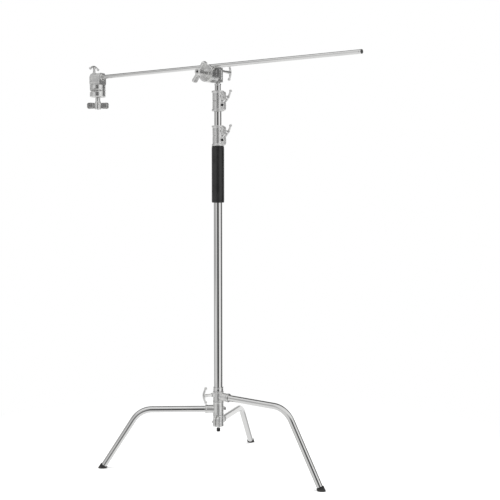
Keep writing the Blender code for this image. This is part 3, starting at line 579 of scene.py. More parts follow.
GAP = 0.3 * MM
RUNNING_GAP = 0.4 * MM
COLUMN_WALL = 1.7 * MM
RISER_1_WALL = 1.5 * MM
PIN_RADIUS = 8 * MM
COLLAR_HEIGHT = 80 * MM
COLLAR_SPLIT = 39 * MM
COLLAR_RADIUS = 21.5 * MM
LIP_RADIUS = 24.5 * MM
LIP_HEIGHT = 6 * MM
EAR_AZIMUTH = 12
EAR_REACH = 31 * MM
EAR_HALF_WIDTH = 11 * MM
SLIT_HALF_WIDTH = 1.2 * MM
CLAMP_BOLT_OFFSET = 24.5 * MM
UPRIGHT = frame_at((0, 0, 0), (0, -1, 0), (1, 0, 0))


def joint_at(name):
    """Where a joint's axis stands, from the column's axis."""
    return Vector(JOINTS[name]["pos_m"]) - COLUMN


def size_of(node):
    """(radius, lowest height, highest height) of a CAD node that stands on the column's axis."""
    low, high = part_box(node)
    return (high.y - low.y) / 2, low.z, high.z


def tube(node, wall, body):
    radius, low, high = size_of(node)
    profile = [(radius, high), (radius, low), (radius - wall, low), (radius - wall, high)]
    fine(node, lathe(soften(profile, 0.4 * MM)), TUBE, body)
    return radius


def grip():
    radius, low, high = size_of("hand_grip")
    inner = size_of("base_column")[0] + RUNNING_GAP
    groove = 0.8 * MM
    band = 7 * MM
    profile = [(inner, low), (radius - 2.5 * MM, low), (radius - 0.5 * MM, low + 2 * MM)]
    for start in (low + band, high - band - 2 * groove):
        profile += [(radius, start), (radius - groove, start + groove / 2),
                    (radius - groove, start + groove * 1.5), (radius, start + 2 * groove)]
    profile += [(radius - 0.5 * MM, high - 2 * MM), (radius - 2.5 * MM, high), (inner, high)]
    fine("hand_grip", lathe(soften(profile, 0.7 * MM)), FOAM, "base")


def collar(name, held_radius, clamped_radius, body):
    """Split collar with two ears, its clamp hardware and its T-handle."""
    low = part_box(name)[0].z
    place = raised(low) @ turn(EAR_AZIMUTH)
    slope = 1.5 * MM
    top = COLLAR_HEIGHT
    profile = [(0, 0), (LIP_RADIUS, 0), (LIP_RADIUS, LIP_HEIGHT),
               (COLLAR_RADIUS, LIP_HEIGHT + slope), (COLLAR_RADIUS, top - LIP_HEIGHT - slope),
               (LIP_RADIUS, top - LIP_HEIGHT), (LIP_RADIUS, top), (0, top)]
    solids = [lathe(soften(profile, 1.2 * MM, False), place, SIDES, False)]
    for ear_low, ear_high in ((2.5 * MM, 37.5 * MM), (41.5 * MM, 77.5 * MM)):
        outline = [(13 * MM, ear_low), (EAR_REACH, ear_low), (EAR_REACH, ear_high),
                   (13 * MM, ear_high)]
        solids.append(prism(fillet(outline, 8 * MM, 8, True), -EAR_HALF_WIDTH, EAR_HALF_WIDTH,
                            place @ UPRIGHT))
    bolt = place @ frame_at((CLAMP_BOLT_OFFSET, 0, 23 * MM), (0, -1, 0), UP)
    handle = place @ frame_at((CLAMP_BOLT_OFFSET, 0, 58 * MM), (0, 1, 0), UP)
    solids.append(bore(9 * MM, 9 * MM, 13.5 * MM, bolt))
    sector = [(0, 0)] + [heading(degrees) * 60 * MM for degrees in range(0, 271, 15)]
    slot_low = COLLAR_SPLIT - 0.5 * MM
    soft = [
        prism(sector, slot_low, slot_low + 2 * MM, place),
        block((8 * MM, -SLIT_HALF_WIDTH, -MM), (40 * MM, SLIT_HALF_WIDTH, top + MM), place),
    ]
    crisp = [
        bore(held_radius + RUNNING_GAP, -MM, COLLAR_SPLIT, place, SIDES),
        bore(clamped_radius + RUNNING_GAP, COLLAR_SPLIT - MM, top + MM, place, SIDES),
        bore(3.4 * MM, -20 * MM, 20 * MM, bolt, SMALL_SIDES),
        bore(5.6 * MM, 8.5 * MM, 20 * MM, bolt),
        bore(4.4 * MM, -20 * MM, 20 * MM, handle, SMALL_SIDES),
    ]
    fine(name, cast(solids, soft, crisp), CASTING, body)
    fine(name + "_fixing_bolt", socket_bolt(3 * MM, -16 * MM, 8.8 * MM, 4.4 * MM, 5 * MM, bolt),
         OXIDE, body)
    outside = -EAR_HALF_WIDTH - GAP
    fine(name + "_fixing_nut", nut(5.8 * MM, 3.1 * MM, -15.6 * MM, outside, bolt), PLATED, body)
    fine(name + "_clamp_nut", nut(6.2 * MM, 4.1 * MM, -16.4 * MM, outside, handle), PLATED, body)
    t_handle(name + "_t_handle", -17 * MM, EAR_HALF_WIDTH + GAP, 46 * MM, handle, 31,
             name + "_t_handle")


def end_guide(node, spigot_radius, hole, body):
    """Ring with two shallow running grooves, and a spigot up into its tube."""
    radius, low, high = size_of(node)
    seat = high - 10 * MM - GAP
    groove = 0.5 * MM
    profile = [(hole, low), (radius, low)]
    for middle in (low + 3.5 * MM, low + 8 * MM):
        profile += [(radius, middle - MM), (radius - groove, middle - groove),
                    (radius - groove, middle + groove), (radius, middle + MM)]
    profile += [(radius, seat), (spigot_radius, seat), (spigot_radius, high), (hole, high)]
    fine(node, lathe(soften(profile, 0.3 * MM)), NYLON, body)


def column_end():
    """Plug, screw and rubber bumper under the column."""
    radius, low, high = size_of("column_end_plug")
    seat = low + 2.1 * MM
    plug = size_of("base_column")[0] - COLUMN_WALL - RUNNING_GAP
    hole = 4.4 * MM
    profile = [(hole, low), (radius, low), (radius, seat), (plug, seat)]
    for step in range(3):
        rib = seat + (3 + 3.5 * step) * MM
        profile += [(plug, rib), (plug - 0.6 * MM, rib + 0.5 * MM),
                    (plug - 0.6 * MM, rib + 1.5 * MM), (plug, rib + 2 * MM)]
    profile += [(plug, high), (hole, high)]
    fine("column_end_plug", lathe(soften(profile, 0.3 * MM)), NYLON, "base")

    low, high = size_of("bumper_screw")[1:]
    washer_low, washer_high = 174.3 * MM, 182.2 * MM
    upper = threaded(4 * MM, washer_high - MM, high, (washer_high, high))
    lower = threaded(3 * MM, low, washer_low + MM, (low, washer_low), pitch=MM)
    barrel = rod(5.5 * MM, washer_low, washer_high, sides=FINE_SIDES)
    fine("bumper_screw", boolean(barrel, "UNION", [upper, lower]), PLATED, "base")

    radius, low, high = size_of("rubber_bumper")
    profile = [(0, low), (radius - 2 * MM, low), (radius, low + 2 * MM),
               (radius, low + 5 * MM), (radius - 0.8 * MM, low + 5.8 * MM),
               (radius - 0.8 * MM, low + 7 * MM), (radius, low + 7.8 * MM), (radius, high),
               (0, high)]
    body = lathe(soften(profile, 0.5 * MM, False), IDENTITY, SIDES, False)
    body = boolean(body, "DIFFERENCE", [bore(3.4 * MM, 166 * MM, high + MM)])
    fine("rubber_bumper", body, RUBBER, "base")


def column_and_risers():
    column_radius = tube("base_column", COLUMN_WALL, "base")
    riser_2_radius = tube("riser_2_tube", COLUMN_WALL, "riser_2")
    riser_1_radius = tube("riser_1_tube", RISER_1_WALL, "riser_1")
    end_guide("riser_2_end_guide", riser_2_radius - COLUMN_WALL - RUNNING_GAP, 11 * MM, "riser_2")
    end_guide("riser_1_end_guide", riser_1_radius - RISER_1_WALL - RUNNING_GAP, 8 * MM, "riser_1")
    grip()
    column_end()
    collar("lower_collar", column_radius, riser_2_radius, "base")
    collar("upper_collar", riser_2_radius, riser_1_radius, "riser_2")

    seat = size_of("riser_1_tube")[2] + GAP
    flange, low, high = size_of("baby_stud")
    spigot = riser_1_radius - RISER_1_WALL - RUNNING_GAP
    neck = PIN_RADIUS - 0.9 * MM
    profile = [(0, low), (spigot, low), (spigot, seat), (riser_1_radius, seat),
               (flange, seat + 3 * MM), (flange, seat + 7.7 * MM), (PIN_RADIUS, seat + 7.7 * MM),
               (PIN_RADIUS, high - 25 * MM), (neck, high - 23 * MM), (neck, high - 13 * MM),
               (PIN_RADIUS, high - 11 * MM), (PIN_RADIUS, high - MM), (PIN_RADIUS - MM, high),
               (0, high)]
    stud = lathe(soften(profile, 0.4 * MM, False), IDENTITY, SIDES, False)
    fine("baby_stud", stud, PLATED, "riser_1")


# --- Legs ------------------------------------------------------------------------------

LEG_RADIUS = 12.5 * MM
LEG_WALL = 1.5 * MM
LEG_START = 26 * MM
LEG_CORNER = 320 * MM
LEG_BEND = 95 * MM
FOOT_REACH = 477 * MM
LEG_SLOPE = math.radians(1.6)
FOOT_RADIUS = 15.2 * MM
FOOT_HEIGHT = 15 * MM
FOOT_FLOOR = 4.2 * MM
CASTING_RADIUS = 21.8 * MM
SOCKET_RADIUS = 16 * MM
SOCKET_REACH = 52 * MM
SLIDE_RING_RADIUS = 19 * MM
BASE_HANDLE_AZIMUTH = 244
LEGS = {
    "top_leg": {"azimuth": 0, "hub": 303 * MM, "body": "top_leg"},
    "middle_leg": {"azimuth": 209, "hub": 252 * MM, "body": "middle_leg"},
    "low_leg": {"azimuth": 108, "hub": 202 * MM, "body": "base"},
}


def leg(name, azimuth, hub, body):
    """Bent tube from its casting to the ground, and the ribbed rubber cap on its end."""
    place = turn(azimuth)
    fall = math.tan(LEG_SLOPE)
    start = Vector((LEG_START, 0, hub - fall * LEG_START))
    corner = Vector((LEG_CORNER, 0, hub - fall * LEG_CORNER))
    toe = Vector((FOOT_REACH, 0, 0))
    rise = (corner - toe).normalized()
    path = fillet([start, corner, toe + rise * 12 * MM], LEG_BEND, 28, False)
    fine(name + "_tube", sweep(path, LEG_RADIUS, place, FINE_SIDES, LEG_WALL), LEG_TUBE, body)

    upright = place @ frame_at(toe, rise, rise.cross(Vector((0, 1, 0))))
    profile = [(0, -25 * MM), (FOOT_RADIUS, -25 * MM)]
    for height in (4.5 * MM, 8.5 * MM):
        profile += [(FOOT_RADIUS, height - 0.9 * MM), (FOOT_RADIUS - 0.9 * MM, height),
                    (FOOT_RADIUS, height + 0.9 * MM)]
    profile += [(FOOT_RADIUS, FOOT_HEIGHT - 1.6 * MM), (FOOT_RADIUS - 1.2 * MM, FOOT_HEIGHT),
                (0, FOOT_HEIGHT)]
    foot = lathe(soften(profile, 0.5 * MM, False), upright, SIDES, False)
    reach = 700 * MM
    depth = -100 * MM
    sole = block((-reach, -reach, depth), (reach, reach, FOOT_FLOOR))
    ground = block((-reach, -reach, depth), (reach, reach, 0))
    hollow = boolean(bore(LEG_RADIUS + RUNNING_GAP, -30 * MM, 40 * MM, upright, SIDES),
                     "DIFFERENCE", [sole])
    foot = boolean(foot, "DIFFERENCE", [hollow, ground])
    fine(name + "_foot", foot, RUBBER, body)


def along_leg(azimuth, hub):
    run = (math.cos(LEG_SLOPE), 0, -math.sin(LEG_SLOPE))
    square = (math.sin(LEG_SLOPE), 0, math.cos(LEG_SLOPE))
    return turn(azimuth) @ frame_at((0, 0, hub), run, square)


def leg_casting(name, azimuth, hub, body, inner, solids, soft, crisp):
    """Ring with a lip at each end, and a socket that runs into it for the leg."""
    node = name + "_casting"
    low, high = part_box(node)[0].z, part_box(node)[1].z
    waist = CASTING_RADIUS - 0.9 * MM
    profile = [(0, low), (CASTING_RADIUS, low), (CASTING_RADIUS, low + 4 * MM),
               (waist, low + 5.5 * MM), (waist, high - 5.5 * MM), (CASTING_RADIUS, high - 4 * MM),
               (CASTING_RADIUS, high), (0, high)]
    ring = lathe(soften(profile, MM, False), turn(azimuth), SIDES, False)
    along = along_leg(azimuth, hub)
    rim = SOCKET_RADIUS + 1.4 * MM
    socket_profile = [(0, 5 * MM), (SOCKET_RADIUS, 5 * MM), (SOCKET_RADIUS, SOCKET_REACH - 8 * MM),
                      (rim, SOCKET_REACH - 6 * MM), (rim, SOCKET_REACH + 0.6 * MM),
                      (0, SOCKET_REACH + 0.6 * MM)]
    socket = lathe(socket_profile, along, SIDES, False)
    crisp = crisp + [
        bore(inner, low - 20 * MM, high + 20 * MM, turn(azimuth), SIDES),
        bore(LEG_RADIUS + RUNNING_GAP, 24 * MM, 60 * MM, along, FINE_SIDES),
    ]
    mesh = cast([ring, socket, *solids], soft, crisp, rounds=6)
    fine(node, mesh, CASTING, body)


def legs():
    column = size_of("base_column")[0] + RUNNING_GAP
    for name, facts in LEGS.items():
        leg(name, facts["azimuth"], facts["hub"], facts["body"])

    low_leg = LEGS["low_leg"]
    place = turn(low_leg["azimuth"])
    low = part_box("low_leg_casting")[0].z + 1.2 * MM
    high = low + 40 * MM
    reach = 34 * MM
    half_width = 12.5 * MM
    outline = [(-reach, low), (-12 * MM, low), (-12 * MM, high), (-reach, high)]
    ears = prism(fillet(outline, 9 * MM, 8, True), -half_width, half_width, place @ UPRIGHT)
    hub = low_leg["hub"]
    web_outline = [(10 * MM, low + MM), (40 * MM, hub - 10 * MM), (10 * MM, hub)]
    web = prism(web_outline, -4.5 * MM, 4.5 * MM, place @ UPRIGHT)
    slit = block((-45 * MM, -SLIT_HALF_WIDTH, low - 20 * MM),
                 (-8 * MM, SLIT_HALF_WIDTH, high + 20 * MM), place)
    bolt = place @ frame_at((-27.5 * MM, 0, hub + 1.5 * MM), (0, 1, 0), UP)
    leg_casting("low_leg", low_leg["azimuth"], hub, "base", column, [ears, web], [slit],
                [bore(3.4 * MM, -30 * MM, 30 * MM, bolt)])
    outside = half_width + GAP
    fine("low_leg_clamp_bolt", hex_bolt(3 * MM, -18 * MM, outside, 4 * MM, 5.8 * MM, bolt), PLATED,
         "base")
    fine("low_leg_clamp_nut", nut(5.8 * MM, 3.1 * MM, -outside - 4.6 * MM, -outside, bolt), PLATED,
         "base")

    middle_leg = LEGS["middle_leg"]
    hub = middle_leg["hub"]
    opposite = turn(middle_leg["azimuth"]) @ frame_at((0, 0, hub + 2 * MM), (-1, 0, 0), UP)
    leg_casting("middle_leg", middle_leg["azimuth"], hub, "middle_leg", column,
                [bore(8 * MM, 12 * MM, 25.5 * MM, opposite)], [],
                [bore(3.4 * MM, 10 * MM, 30 * MM, opposite)])
    fine("middle_leg_hex_bolt", hex_bolt(3 * MM, 18.4 * MM, 25.8 * MM, 5 * MM, 6.4 * MM, opposite),
         PLATED, "middle_leg")

    top_leg = LEGS["top_leg"]
    screw = frame_at(joint_at("base_t_handle_turn"), heading(BASE_HANDLE_AZIMUTH), UP)
    leg_casting("top_leg", top_leg["azimuth"], top_leg["hub"], "top_leg",
                SLIDE_RING_RADIUS + RUNNING_GAP, [bore(8 * MM, 12 * MM, 30 * MM, screw)], [],
                [bore(4.4 * MM, 10 * MM, 40 * MM, screw)])
    t_handle("base_t_handle", SLIDE_RING_RADIUS + GAP, 30.4 * MM, 66 * MM, screw, 0,
             "base_t_handle")

    radius, low, high = size_of("slide_ring")
    seat = high - 16 * MM
    profile = [(column, low), (SLIDE_RING_RADIUS, low), (SLIDE_RING_RADIUS, seat),
               (radius, seat), (radius, high - 6 * MM), (radius - 0.7 * MM, high - 5 * MM),
               (radius - 0.7 * MM, high - 4 * MM), (radius, high - 3 * MM), (radius, high),
               (column, high)]
    fine("slide_ring", lathe(soften(profile, 0.4 * MM)), PLATED, "slide_ring")


# --- Grip heads and boom arm -----------------------------------------------------------
# In a head's own frame Z is the screw axis, out towards its big T-handle, X is the bore that
# takes a pin, and the origin is where the two axes cross.

RECEIVER_HALF_LENGTH = 30 * MM
RECEIVER_HALF_WIDTH = 21.5 * MM
RECEIVER_BACK = -17 * MM
RECEIVER_FRONT = 31.5 * MM
PIN_BORE = 8.45 * MM
STUD_RADIUS = 6 * MM
STUD_START = 11 * MM
STUD_END = 118 * MM
STUD_BORE = STUD_RADIUS + RUNNING_GAP
JAW_RADIUS = 34 * MM
JAW_BACK = 32 * MM
JAW_FACE = 57 * MM
JAW_FRONT = 82 * MM
JAW_PARTING = 0.4 * MM
JAW_SIDES = 144
NOTCHES = ((8.45 * MM, 28 * MM), (6.6 * MM, 26 * MM), (5 * MM, 27 * MM), (3.4 * MM, 28 * MM))
POCKET_RADIUS = 10.6 * MM
POCKET_DEPTH = 8 * MM
SPRING_RADIUS = 8.6 * MM
SPRING_WIRE = 0.9 * MM
HANDLE_LOW = 85.4 * MM
HANDLE_HIGH = 134.5 * MM
WING_MIDDLE = 119 * MM
SET_SCREW_OFFSET = 20 * MM
LENGTHWISE = frame_at((0, 0, 0), (1, 0, 0), (0, 1, 0))
BACKWARDS = frame_at((SET_SCREW_OFFSET, 0, 0), (0, 0, -1), (1, 0, 0))


def receiver(prefix, place):
    """Cast block with sunk sides, a ring round each end of its bore, and the main stud."""
    back_half = 13 * MM
    shoulder = -4 * MM
    outline = [(-RECEIVER_HALF_WIDTH, RECEIVER_FRONT), (-RECEIVER_HALF_WIDTH, shoulder),
               (-back_half, RECEIVER_BACK), (back_half, RECEIVER_BACK),
               (RECEIVER_HALF_WIDTH, shoulder), (RECEIVER_HALF_WIDTH, RECEIVER_FRONT)]
    lengthwise = place @ LENGTHWISE
    ring_inset = 2 * MM
    body = prism(fillet(outline, 4 * MM, 6, True), -RECEIVER_HALF_LENGTH + ring_inset,
                 RECEIVER_HALF_LENGTH - ring_inset, lengthwise)
    ring = bore(13.5 * MM, -RECEIVER_HALF_LENGTH, RECEIVER_HALF_LENGTH, lengthwise)
    boss = bore(8 * MM, 14 * MM, 22 * MM, place @ BACKWARDS)
    collar_ring = bore(15 * MM, 20 * MM, RECEIVER_FRONT, place)
    panel = fillet([(-19 * MM, 3 * MM), (19 * MM, 3 * MM), (19 * MM, 23 * MM),
                    (-19 * MM, 23 * MM)], 5 * MM, 6, True)
    sunk = 1.6 * MM
    past = 40 * MM
    panels = []
    for side in (-1, 1):
        flat = frame_at((0, side * RECEIVER_HALF_WIDTH, 0), (0, -1, 0), (1, 0, 0))
        panels.append(prism(panel, -sunk, sunk, place @ flat))
    crisp = [
        bore(PIN_BORE, -past, past, lengthwise, SIDES),
        bore(STUD_BORE, STUD_START - GAP, RECEIVER_FRONT + MM, place),
        bore(SHAFT_RADIUS + GAP, 2 * MM, 25 * MM, place @ BACKWARDS, SMALL_SIDES),
    ]
    mesh = cast([body, ring, boss, collar_ring], panels, crisp, rounds=6)
    fine(prefix + "_receiver", mesh, CASTING, prefix)
    stud = threaded(STUD_RADIUS, STUD_START, STUD_END, (40 * MM, STUD_END), place, 1.75 * MM)
    fine(prefix + "_main_stud", stud, PLATED, prefix)


def toothed(radius, place):
    """Cutter for a notch: a bar whose side is ringed with fine teeth."""
    pitch = 1.6 * MM
    half = 45 * MM
    count = round(2 * half / pitch)
    profile = [(0, -half)]
    for step in range(count + 1):
        height = -half + pitch * step
        profile += [(radius, height), (radius + 0.45 * MM, height + pitch / 2)]
    profile.append((0, profile[-1][1]))
    return lathe(profile, place, FINE_SIDES, False)


def jaw(name, back, face, jaw_turn, body, place):
    """Disc with toothed notches of falling size across its face, a spring pocket and a hub."""
    outwards = 1 if face > back else -1
    edge = 1.6 * MM
    sunk = 2.2 * MM
    profile = [(0, back), (14.5 * MM, back), (15.5 * MM, back + outwards * sunk),
               (JAW_RADIUS - 5 * MM, back + outwards * sunk), (JAW_RADIUS - 4 * MM, back),
               (JAW_RADIUS - edge, back), (JAW_RADIUS, back + outwards * edge),
               (JAW_RADIUS, face - outwards * MM), (JAW_RADIUS - MM, face), (0, face)]
    disc = lathe(soften(profile, 0.6 * MM, False), place, JAW_SIDES, False)
    cuts = [
        bore(STUD_BORE, min(back, face) - MM, max(back, face) + MM, place),
        bore(POCKET_RADIUS, JAW_FACE - POCKET_DEPTH, JAW_FACE + POCKET_DEPTH, place),
    ]
    for index, (radius, offset) in enumerate(NOTCHES):
        middle = heading(jaw_turn + 90 * index)
        centre = middle * offset + Vector((0, 0, JAW_FACE))
        cuts.append(toothed(radius, place @ frame_at(centre, UP.cross(middle), UP)))
    fine(name, boolean(disc, "DIFFERENCE", cuts), JAW_METAL, body, sharp=30)


def spring(prefix, place):
    turns = 3.5
    steps = 36
    low = JAW_FACE - POCKET_DEPTH + 1.5 * MM
    high = JAW_FACE + POCKET_DEPTH - 1.5 * MM
    count = int(turns * steps)
    path = []
    for index in range(count + 1):
        part = index / count
        closing = min(1, max(0, (part - 0.12) / 0.76))
        point = heading(360 * index / steps) * SPRING_RADIUS
        point.z = low + (high - low) * (0.12 * part + 0.88 * closing)
        path.append(point)
    fine(prefix + "_jaw_spring", sweep(path, SPRING_WIRE, place, 16), SPRING, prefix + "_jaws")


def big_handle(prefix, place, wing_turn):
    """Long nut with two flared wings, and the cap screw in its end."""
    hub_profile = [(0, HANDLE_LOW), (10.5 * MM, HANDLE_LOW), (10.5 * MM, 99 * MM),
                   (12.5 * MM, 107 * MM), (12.5 * MM, HANDLE_HIGH), (0, HANDLE_HIGH)]
    hub = lathe(soften(hub_profile, 1.5 * MM, False), place, FINE_SIDES, False)
    half = 46 * MM
    tip_half = 14 * MM
    root_half = 11.5 * MM
    outline = [(-half, -tip_half), (0, -root_half), (half, -tip_half), (half, tip_half),
               (0, root_half), (-half, tip_half)]
    flat = place @ turn(wing_turn) @ frame_at((0, 0, WING_MIDDLE), (0, 1, 0), (1, 0, 0))
    wings = prism(fillet(outline, 8 * MM, 8, True), -4.4 * MM, 4.4 * MM, flat)
    dimples = []
    dimple = fillet([(20 * MM, -8 * MM), (39 * MM, -9.5 * MM), (39 * MM, 9.5 * MM),
                     (20 * MM, 8 * MM)], 4 * MM, 6, True)
    other = [(-point.x, point.y) for point in dimple]
    for side in (-1, 1):
        depth = sorted((side * 3.9 * MM, side * 6 * MM))
        dimples += [prism(dimple, *depth, flat), prism(other, *depth, flat)]
    past = 140 * MM
    crisp = [bore(STUD_BORE, HANDLE_LOW - MM, 125.5 * MM, place),
             bore(4.9 * MM, 127.5 * MM, past, place)]
    mesh = cast([hub, wings], dimples, crisp, rounds=8)
    piece(prefix + "_t_handle_casting", mesh, HANDLE_METAL, prefix + "_t_handle",
          prefix + "_t_handle")
    cap = rod(4.5 * MM, 127.9 * MM, 134.9 * MM, place, FINE_SIDES)
    cap = boolean(cap, "DIFFERENCE", [prism(polygon(2.4 * MM), 131.5 * MM, past, place)])
    fine(prefix + "_retaining_screw", cap, OXIDE, prefix + "_t_handle")


def grip_head(prefix, place, jaw_turn, wing_turn, screw_reach, screw_turn):
    receiver(prefix, place)
    jaw(prefix + "_inner_jaw", JAW_BACK, JAW_FACE - JAW_PARTING, jaw_turn, prefix + "_jaws", place)
    spring(prefix, place)
    outer = prefix + "_outer_jaw"
    jaw(outer, JAW_FRONT, JAW_FACE + JAW_PARTING, jaw_turn, outer, place)
    low = JAW_FRONT + GAP
    washer = [(STUD_BORE, low), (13 * MM, low), (13 * MM, low + 2.6 * MM),
              (STUD_BORE, low + 2.6 * MM)]
    fine(prefix + "_thrust_washer", lathe(soften(washer, 0.5 * MM), place), PLATED, outer)
    big_handle(prefix, place, wing_turn)
    t_handle(prefix + "_set_screw", PIN_RADIUS + RUNNING_GAP, 24 * MM, screw_reach,
             place @ BACKWARDS, screw_turn, prefix + "_set_screw")


def boom():
    """Hollow arm with a turned ring near each end, and the ribbed plug in its load end."""
    low, high = [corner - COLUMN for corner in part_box("boom_arm")]
    lengthwise = frame_at((0, (low.y + high.y) / 2, (low.z + high.z) / 2), (1, 0, 0), UP)
    inner = 5.5 * MM
    profile = [(inner, low.x), (PIN_RADIUS, low.x)]
    for start in (low.x + 5 * MM, high.x - 9 * MM):
        profile += [(PIN_RADIUS, start), (PIN_RADIUS - 0.4 * MM, start + 0.5 * MM),
                    (PIN_RADIUS - 0.4 * MM, start + 1.5 * MM), (PIN_RADIUS, start + 2 * MM)]
    profile += [(PIN_RADIUS, high.x), (inner, high.x)]
    fine("boom_arm", lathe(soften(profile, 0.4 * MM), lengthwise), ARM_TUBE, "boom_arm")

    plug_low, plug_high = [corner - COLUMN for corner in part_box("boom_arm_end_plug")]
    seat = high.x + GAP
    plug = inner - RUNNING_GAP
    profile = [(0, plug_low.x), (plug - 0.8 * MM, plug_low.x)]
    for step in range(3):
        rib = plug_low.x + (1.5 + 4 * step) * MM
        profile += [(plug, rib), (plug, rib + 1.2 * MM), (plug - 0.7 * MM, rib + 2 * MM),
                    (plug - 0.7 * MM, rib + 3.2 * MM)]
    profile += [(plug, seat), (PIN_RADIUS, seat), (PIN_RADIUS, plug_high.x - MM),
                (PIN_RADIUS - MM, plug_high.x), (0, plug_high.x)]
    mesh = lathe(soften(profile, 0.3 * MM, False), lengthwise, SIDES, False)
    fine("boom_arm_end_plug", mesh, NYLON, "boom_arm")


# --- Floor, light and camera -----------------------------------------------------------

CAMERA_AT = Vector((2.202, -3.038, 1.086))
CAMERA_RUN = Vector((-0.559, 0.829, 0)).normalized()
CAMERA_PITCH = math.radians(2.97)
CAMERA_LENS = 67.8
# Brightness of the surroundings round the horizon: 0 is behind the object as the camera sees
# it, 0.5 is the camera's own side, and values run from its left round to its right.
REAR_LEFT = ((0.0, 0.95), (0.10, 0.85), (0.16, 0.42))
FRONT_LEFT = ((0.31, 0.46), (0.36, 0.80))
FRONT_LEFT_LOW = ((0.24, 0.48), (0.28, 0.88))
FRONT_AND_RIGHT = ((0.42, 0.62), (0.455, 0.06), (0.545, 0.04), (0.585, 0.95), (0.70, 1.0),
                   (0.74, 0.10), (0.84, 0.10), (0.88, 0.95), (1.0, 0.95))
SURROUNDINGS = REAR_LEFT + FRONT_LEFT + FRONT_AND_RIGHT
LOW_SURROUNDINGS = REAR_LEFT + FRONT_LEFT_LOW + FRONT_AND_RIGHT
CEILING = 0.88
DARK_FLAG = 0.08
GROUND = 0.9


def surroundings():
    """White surroundings, with soft grey and black panels that only reflections see."""
    world = bpy.data.worlds.new("studio")
    world.use_nodes = True
    bpy.context.scene.world = world
    tree = world.node_tree
    tree.nodes.clear()
    graph = Graph(tree)
    where = graph.node("ShaderNodeTexCoord").outputs["Generated"]
    right = CAMERA_RUN.cross(UP)

    def along(direction):
        made = graph.node("ShaderNodeVectorMath", operation="DOT_PRODUCT")
        graph.feed(made.inputs[0], where)
        graph.feed(made.inputs[1], direction)
        return made.outputs["Value"]

    azimuth = graph.maths("ARCTAN2", along(right), along(-CAMERA_RUN))
    across = graph.span(azimuth, -math.pi, math.pi, 0.0, 1.0)

    def panels_round(values):
        ramp = graph.node("ShaderNodeValToRGB", {"Fac": across})
        stops = ramp.color_ramp.elements
        for index, (place, value) in enumerate(values):
            stop = stops[index] if index < 2 else stops.new(place)
            stop.position = place
            stop.color = rgb(value)
        return ramp.outputs["Color"]

    lift = along(UP)
    lowered = graph.span(lift, -0.06, -0.16, 0.0, 1.0)
    overhead = graph.span(lift, 0.40, 0.60, 0.0, 1.0)
    behind = graph.span(along(CAMERA_RUN), 0.15, 0.40, 0.0, 1.0)
    raised_behind = graph.maths("MULTIPLY", behind, graph.span(lift, 0.22, 0.35, 0.0, 1.0))
    below = graph.span(lift, -0.35, -0.75, 0.0, 1.0)
    colour = graph.mix(lowered, panels_round(SURROUNDINGS), panels_round(LOW_SURROUNDINGS))
    colour = graph.mix(overhead, colour, rgb(CEILING))
    colour = graph.mix(raised_behind, colour, rgb(DARK_FLAG))
    colour = graph.mix(below, colour, rgb(GROUND))
    panels = graph.node("ShaderNodeBackground", {"Color": colour, "Strength": 1.0})
    white = graph.node("ShaderNodeBackground", {"Color": rgb(1.0), "Strength": 1.0})
    reflected = graph.node("ShaderNodeLightPath").outputs["Is Glossy Ray"]
    mixed = graph.node("ShaderNodeMixShader", {"Fac": reflected})
    graph.feed(mixed.inputs[1], white.outputs[0])
    graph.feed(mixed.inputs[2], panels.outputs[0])
    graph.node("ShaderNodeOutputWorld", {"Surface": mixed.outputs[0]})


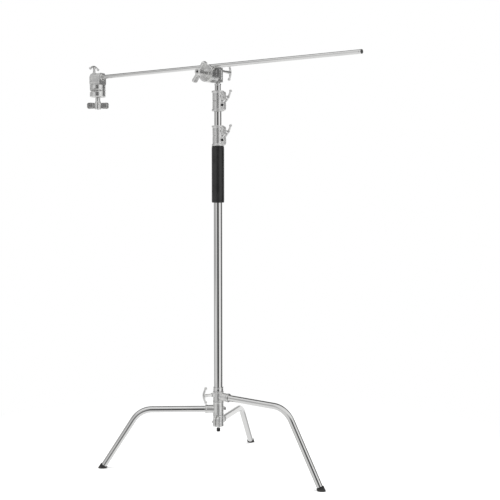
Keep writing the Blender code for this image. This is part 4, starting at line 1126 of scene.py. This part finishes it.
def floor():
    """Pale floor that fades into the white backdrop away from the stand."""
    bm = bmesh.new()
    bmesh.ops.create_grid(bm, x_segments=1, y_segments=1, size=6)
    bmesh.ops.translate(bm, verts=bm.verts, vec=(0, 0, -0.2 * MM))
    obj = bpy.data.objects.new("studio_floor", mesh_of(bm))
    obj.location = COLUMN
    obj.visible_glossy = False
    bpy.context.scene.collection.objects.link(obj)
    material, graph, shader, where = new_material("pale_floor")
    cloud = graph.noise(where, 3.0, 3.0)
    graph.feed(shader.inputs["Base Color"], graph.mix(cloud, rgb(0.90), rgb(0.93)))
    shader.inputs["Roughness"].default_value = 0.7
    flat = graph.stretched(where, (1, 1, 0))
    far = graph.node("ShaderNodeVectorMath", operation="LENGTH")
    graph.feed(far.inputs[0], flat)
    fade = graph.span(far.outputs["Value"], 0.55, 1.5, 0.0, 1.0)
    glow = graph.node("ShaderNodeEmission", {"Color": rgb(1.0), "Strength": 1.0})
    mixed = graph.node("ShaderNodeMixShader", {"Fac": fade})
    graph.feed(mixed.inputs[1], shader.outputs[0])
    graph.feed(mixed.inputs[2], glow.outputs[0])
    output = material.node_tree.nodes["Material Output"]
    graph.feed(output.inputs["Surface"], mixed.outputs[0])
    obj.data.materials.append(material)


def soft_light(name, place, target, size, power):
    """Large soft light that shines on the scene but isn't seen in reflections."""
    data = bpy.data.lights.new(name, "AREA")
    data.shape = "DISK"
    data.size = size
    data.energy = power
    light = bpy.data.objects.new(name, data)
    light.location = STAND @ Vector(place)
    light.rotation_euler = (Vector(target) - Vector(place)).to_track_quat("-Z", "Y").to_euler()
    light.visible_glossy = False
    bpy.context.scene.collection.objects.link(light)


def camera():
    data = bpy.data.cameras.new("camera")
    data.lens = CAMERA_LENS
    obj = bpy.data.objects.new("camera", data)
    look = CAMERA_RUN * math.cos(CAMERA_PITCH) - UP * math.sin(CAMERA_PITCH)
    obj.location = STAND @ CAMERA_AT
    obj.rotation_euler = look.to_track_quat("-Z", "Y").to_euler()
    bpy.context.scene.collection.objects.link(obj)
    bpy.context.scene.camera = obj


# --- Assembly --------------------------------------------------------------------------

column_and_risers()
legs()
STAND_HEAD = frame_at(joint_at("stand_head_swivel"), (0, -1, 0), UP)
ARM_HEAD = frame_at(joint_at("arm_head_roll"), (0, 0, -1), (-1, 0, 0))
grip_head("stand_head", STAND_HEAD, 0, -36, 86 * MM, 0)
grip_head("arm_head", ARM_HEAD, 270, -34, 46 * MM, -81)
boom()

surroundings()
floor()
soft_light("key_light", (-1.6, -2.4, 3.2), (0, 0, 0.8), 2.2, 70)
soft_light("top_light", (0.4, 0.6, 3.6), (0, 0, 0.6), 2.6, 55)
camera()
bpy.context.scene.view_settings.view_transform = "Standard"
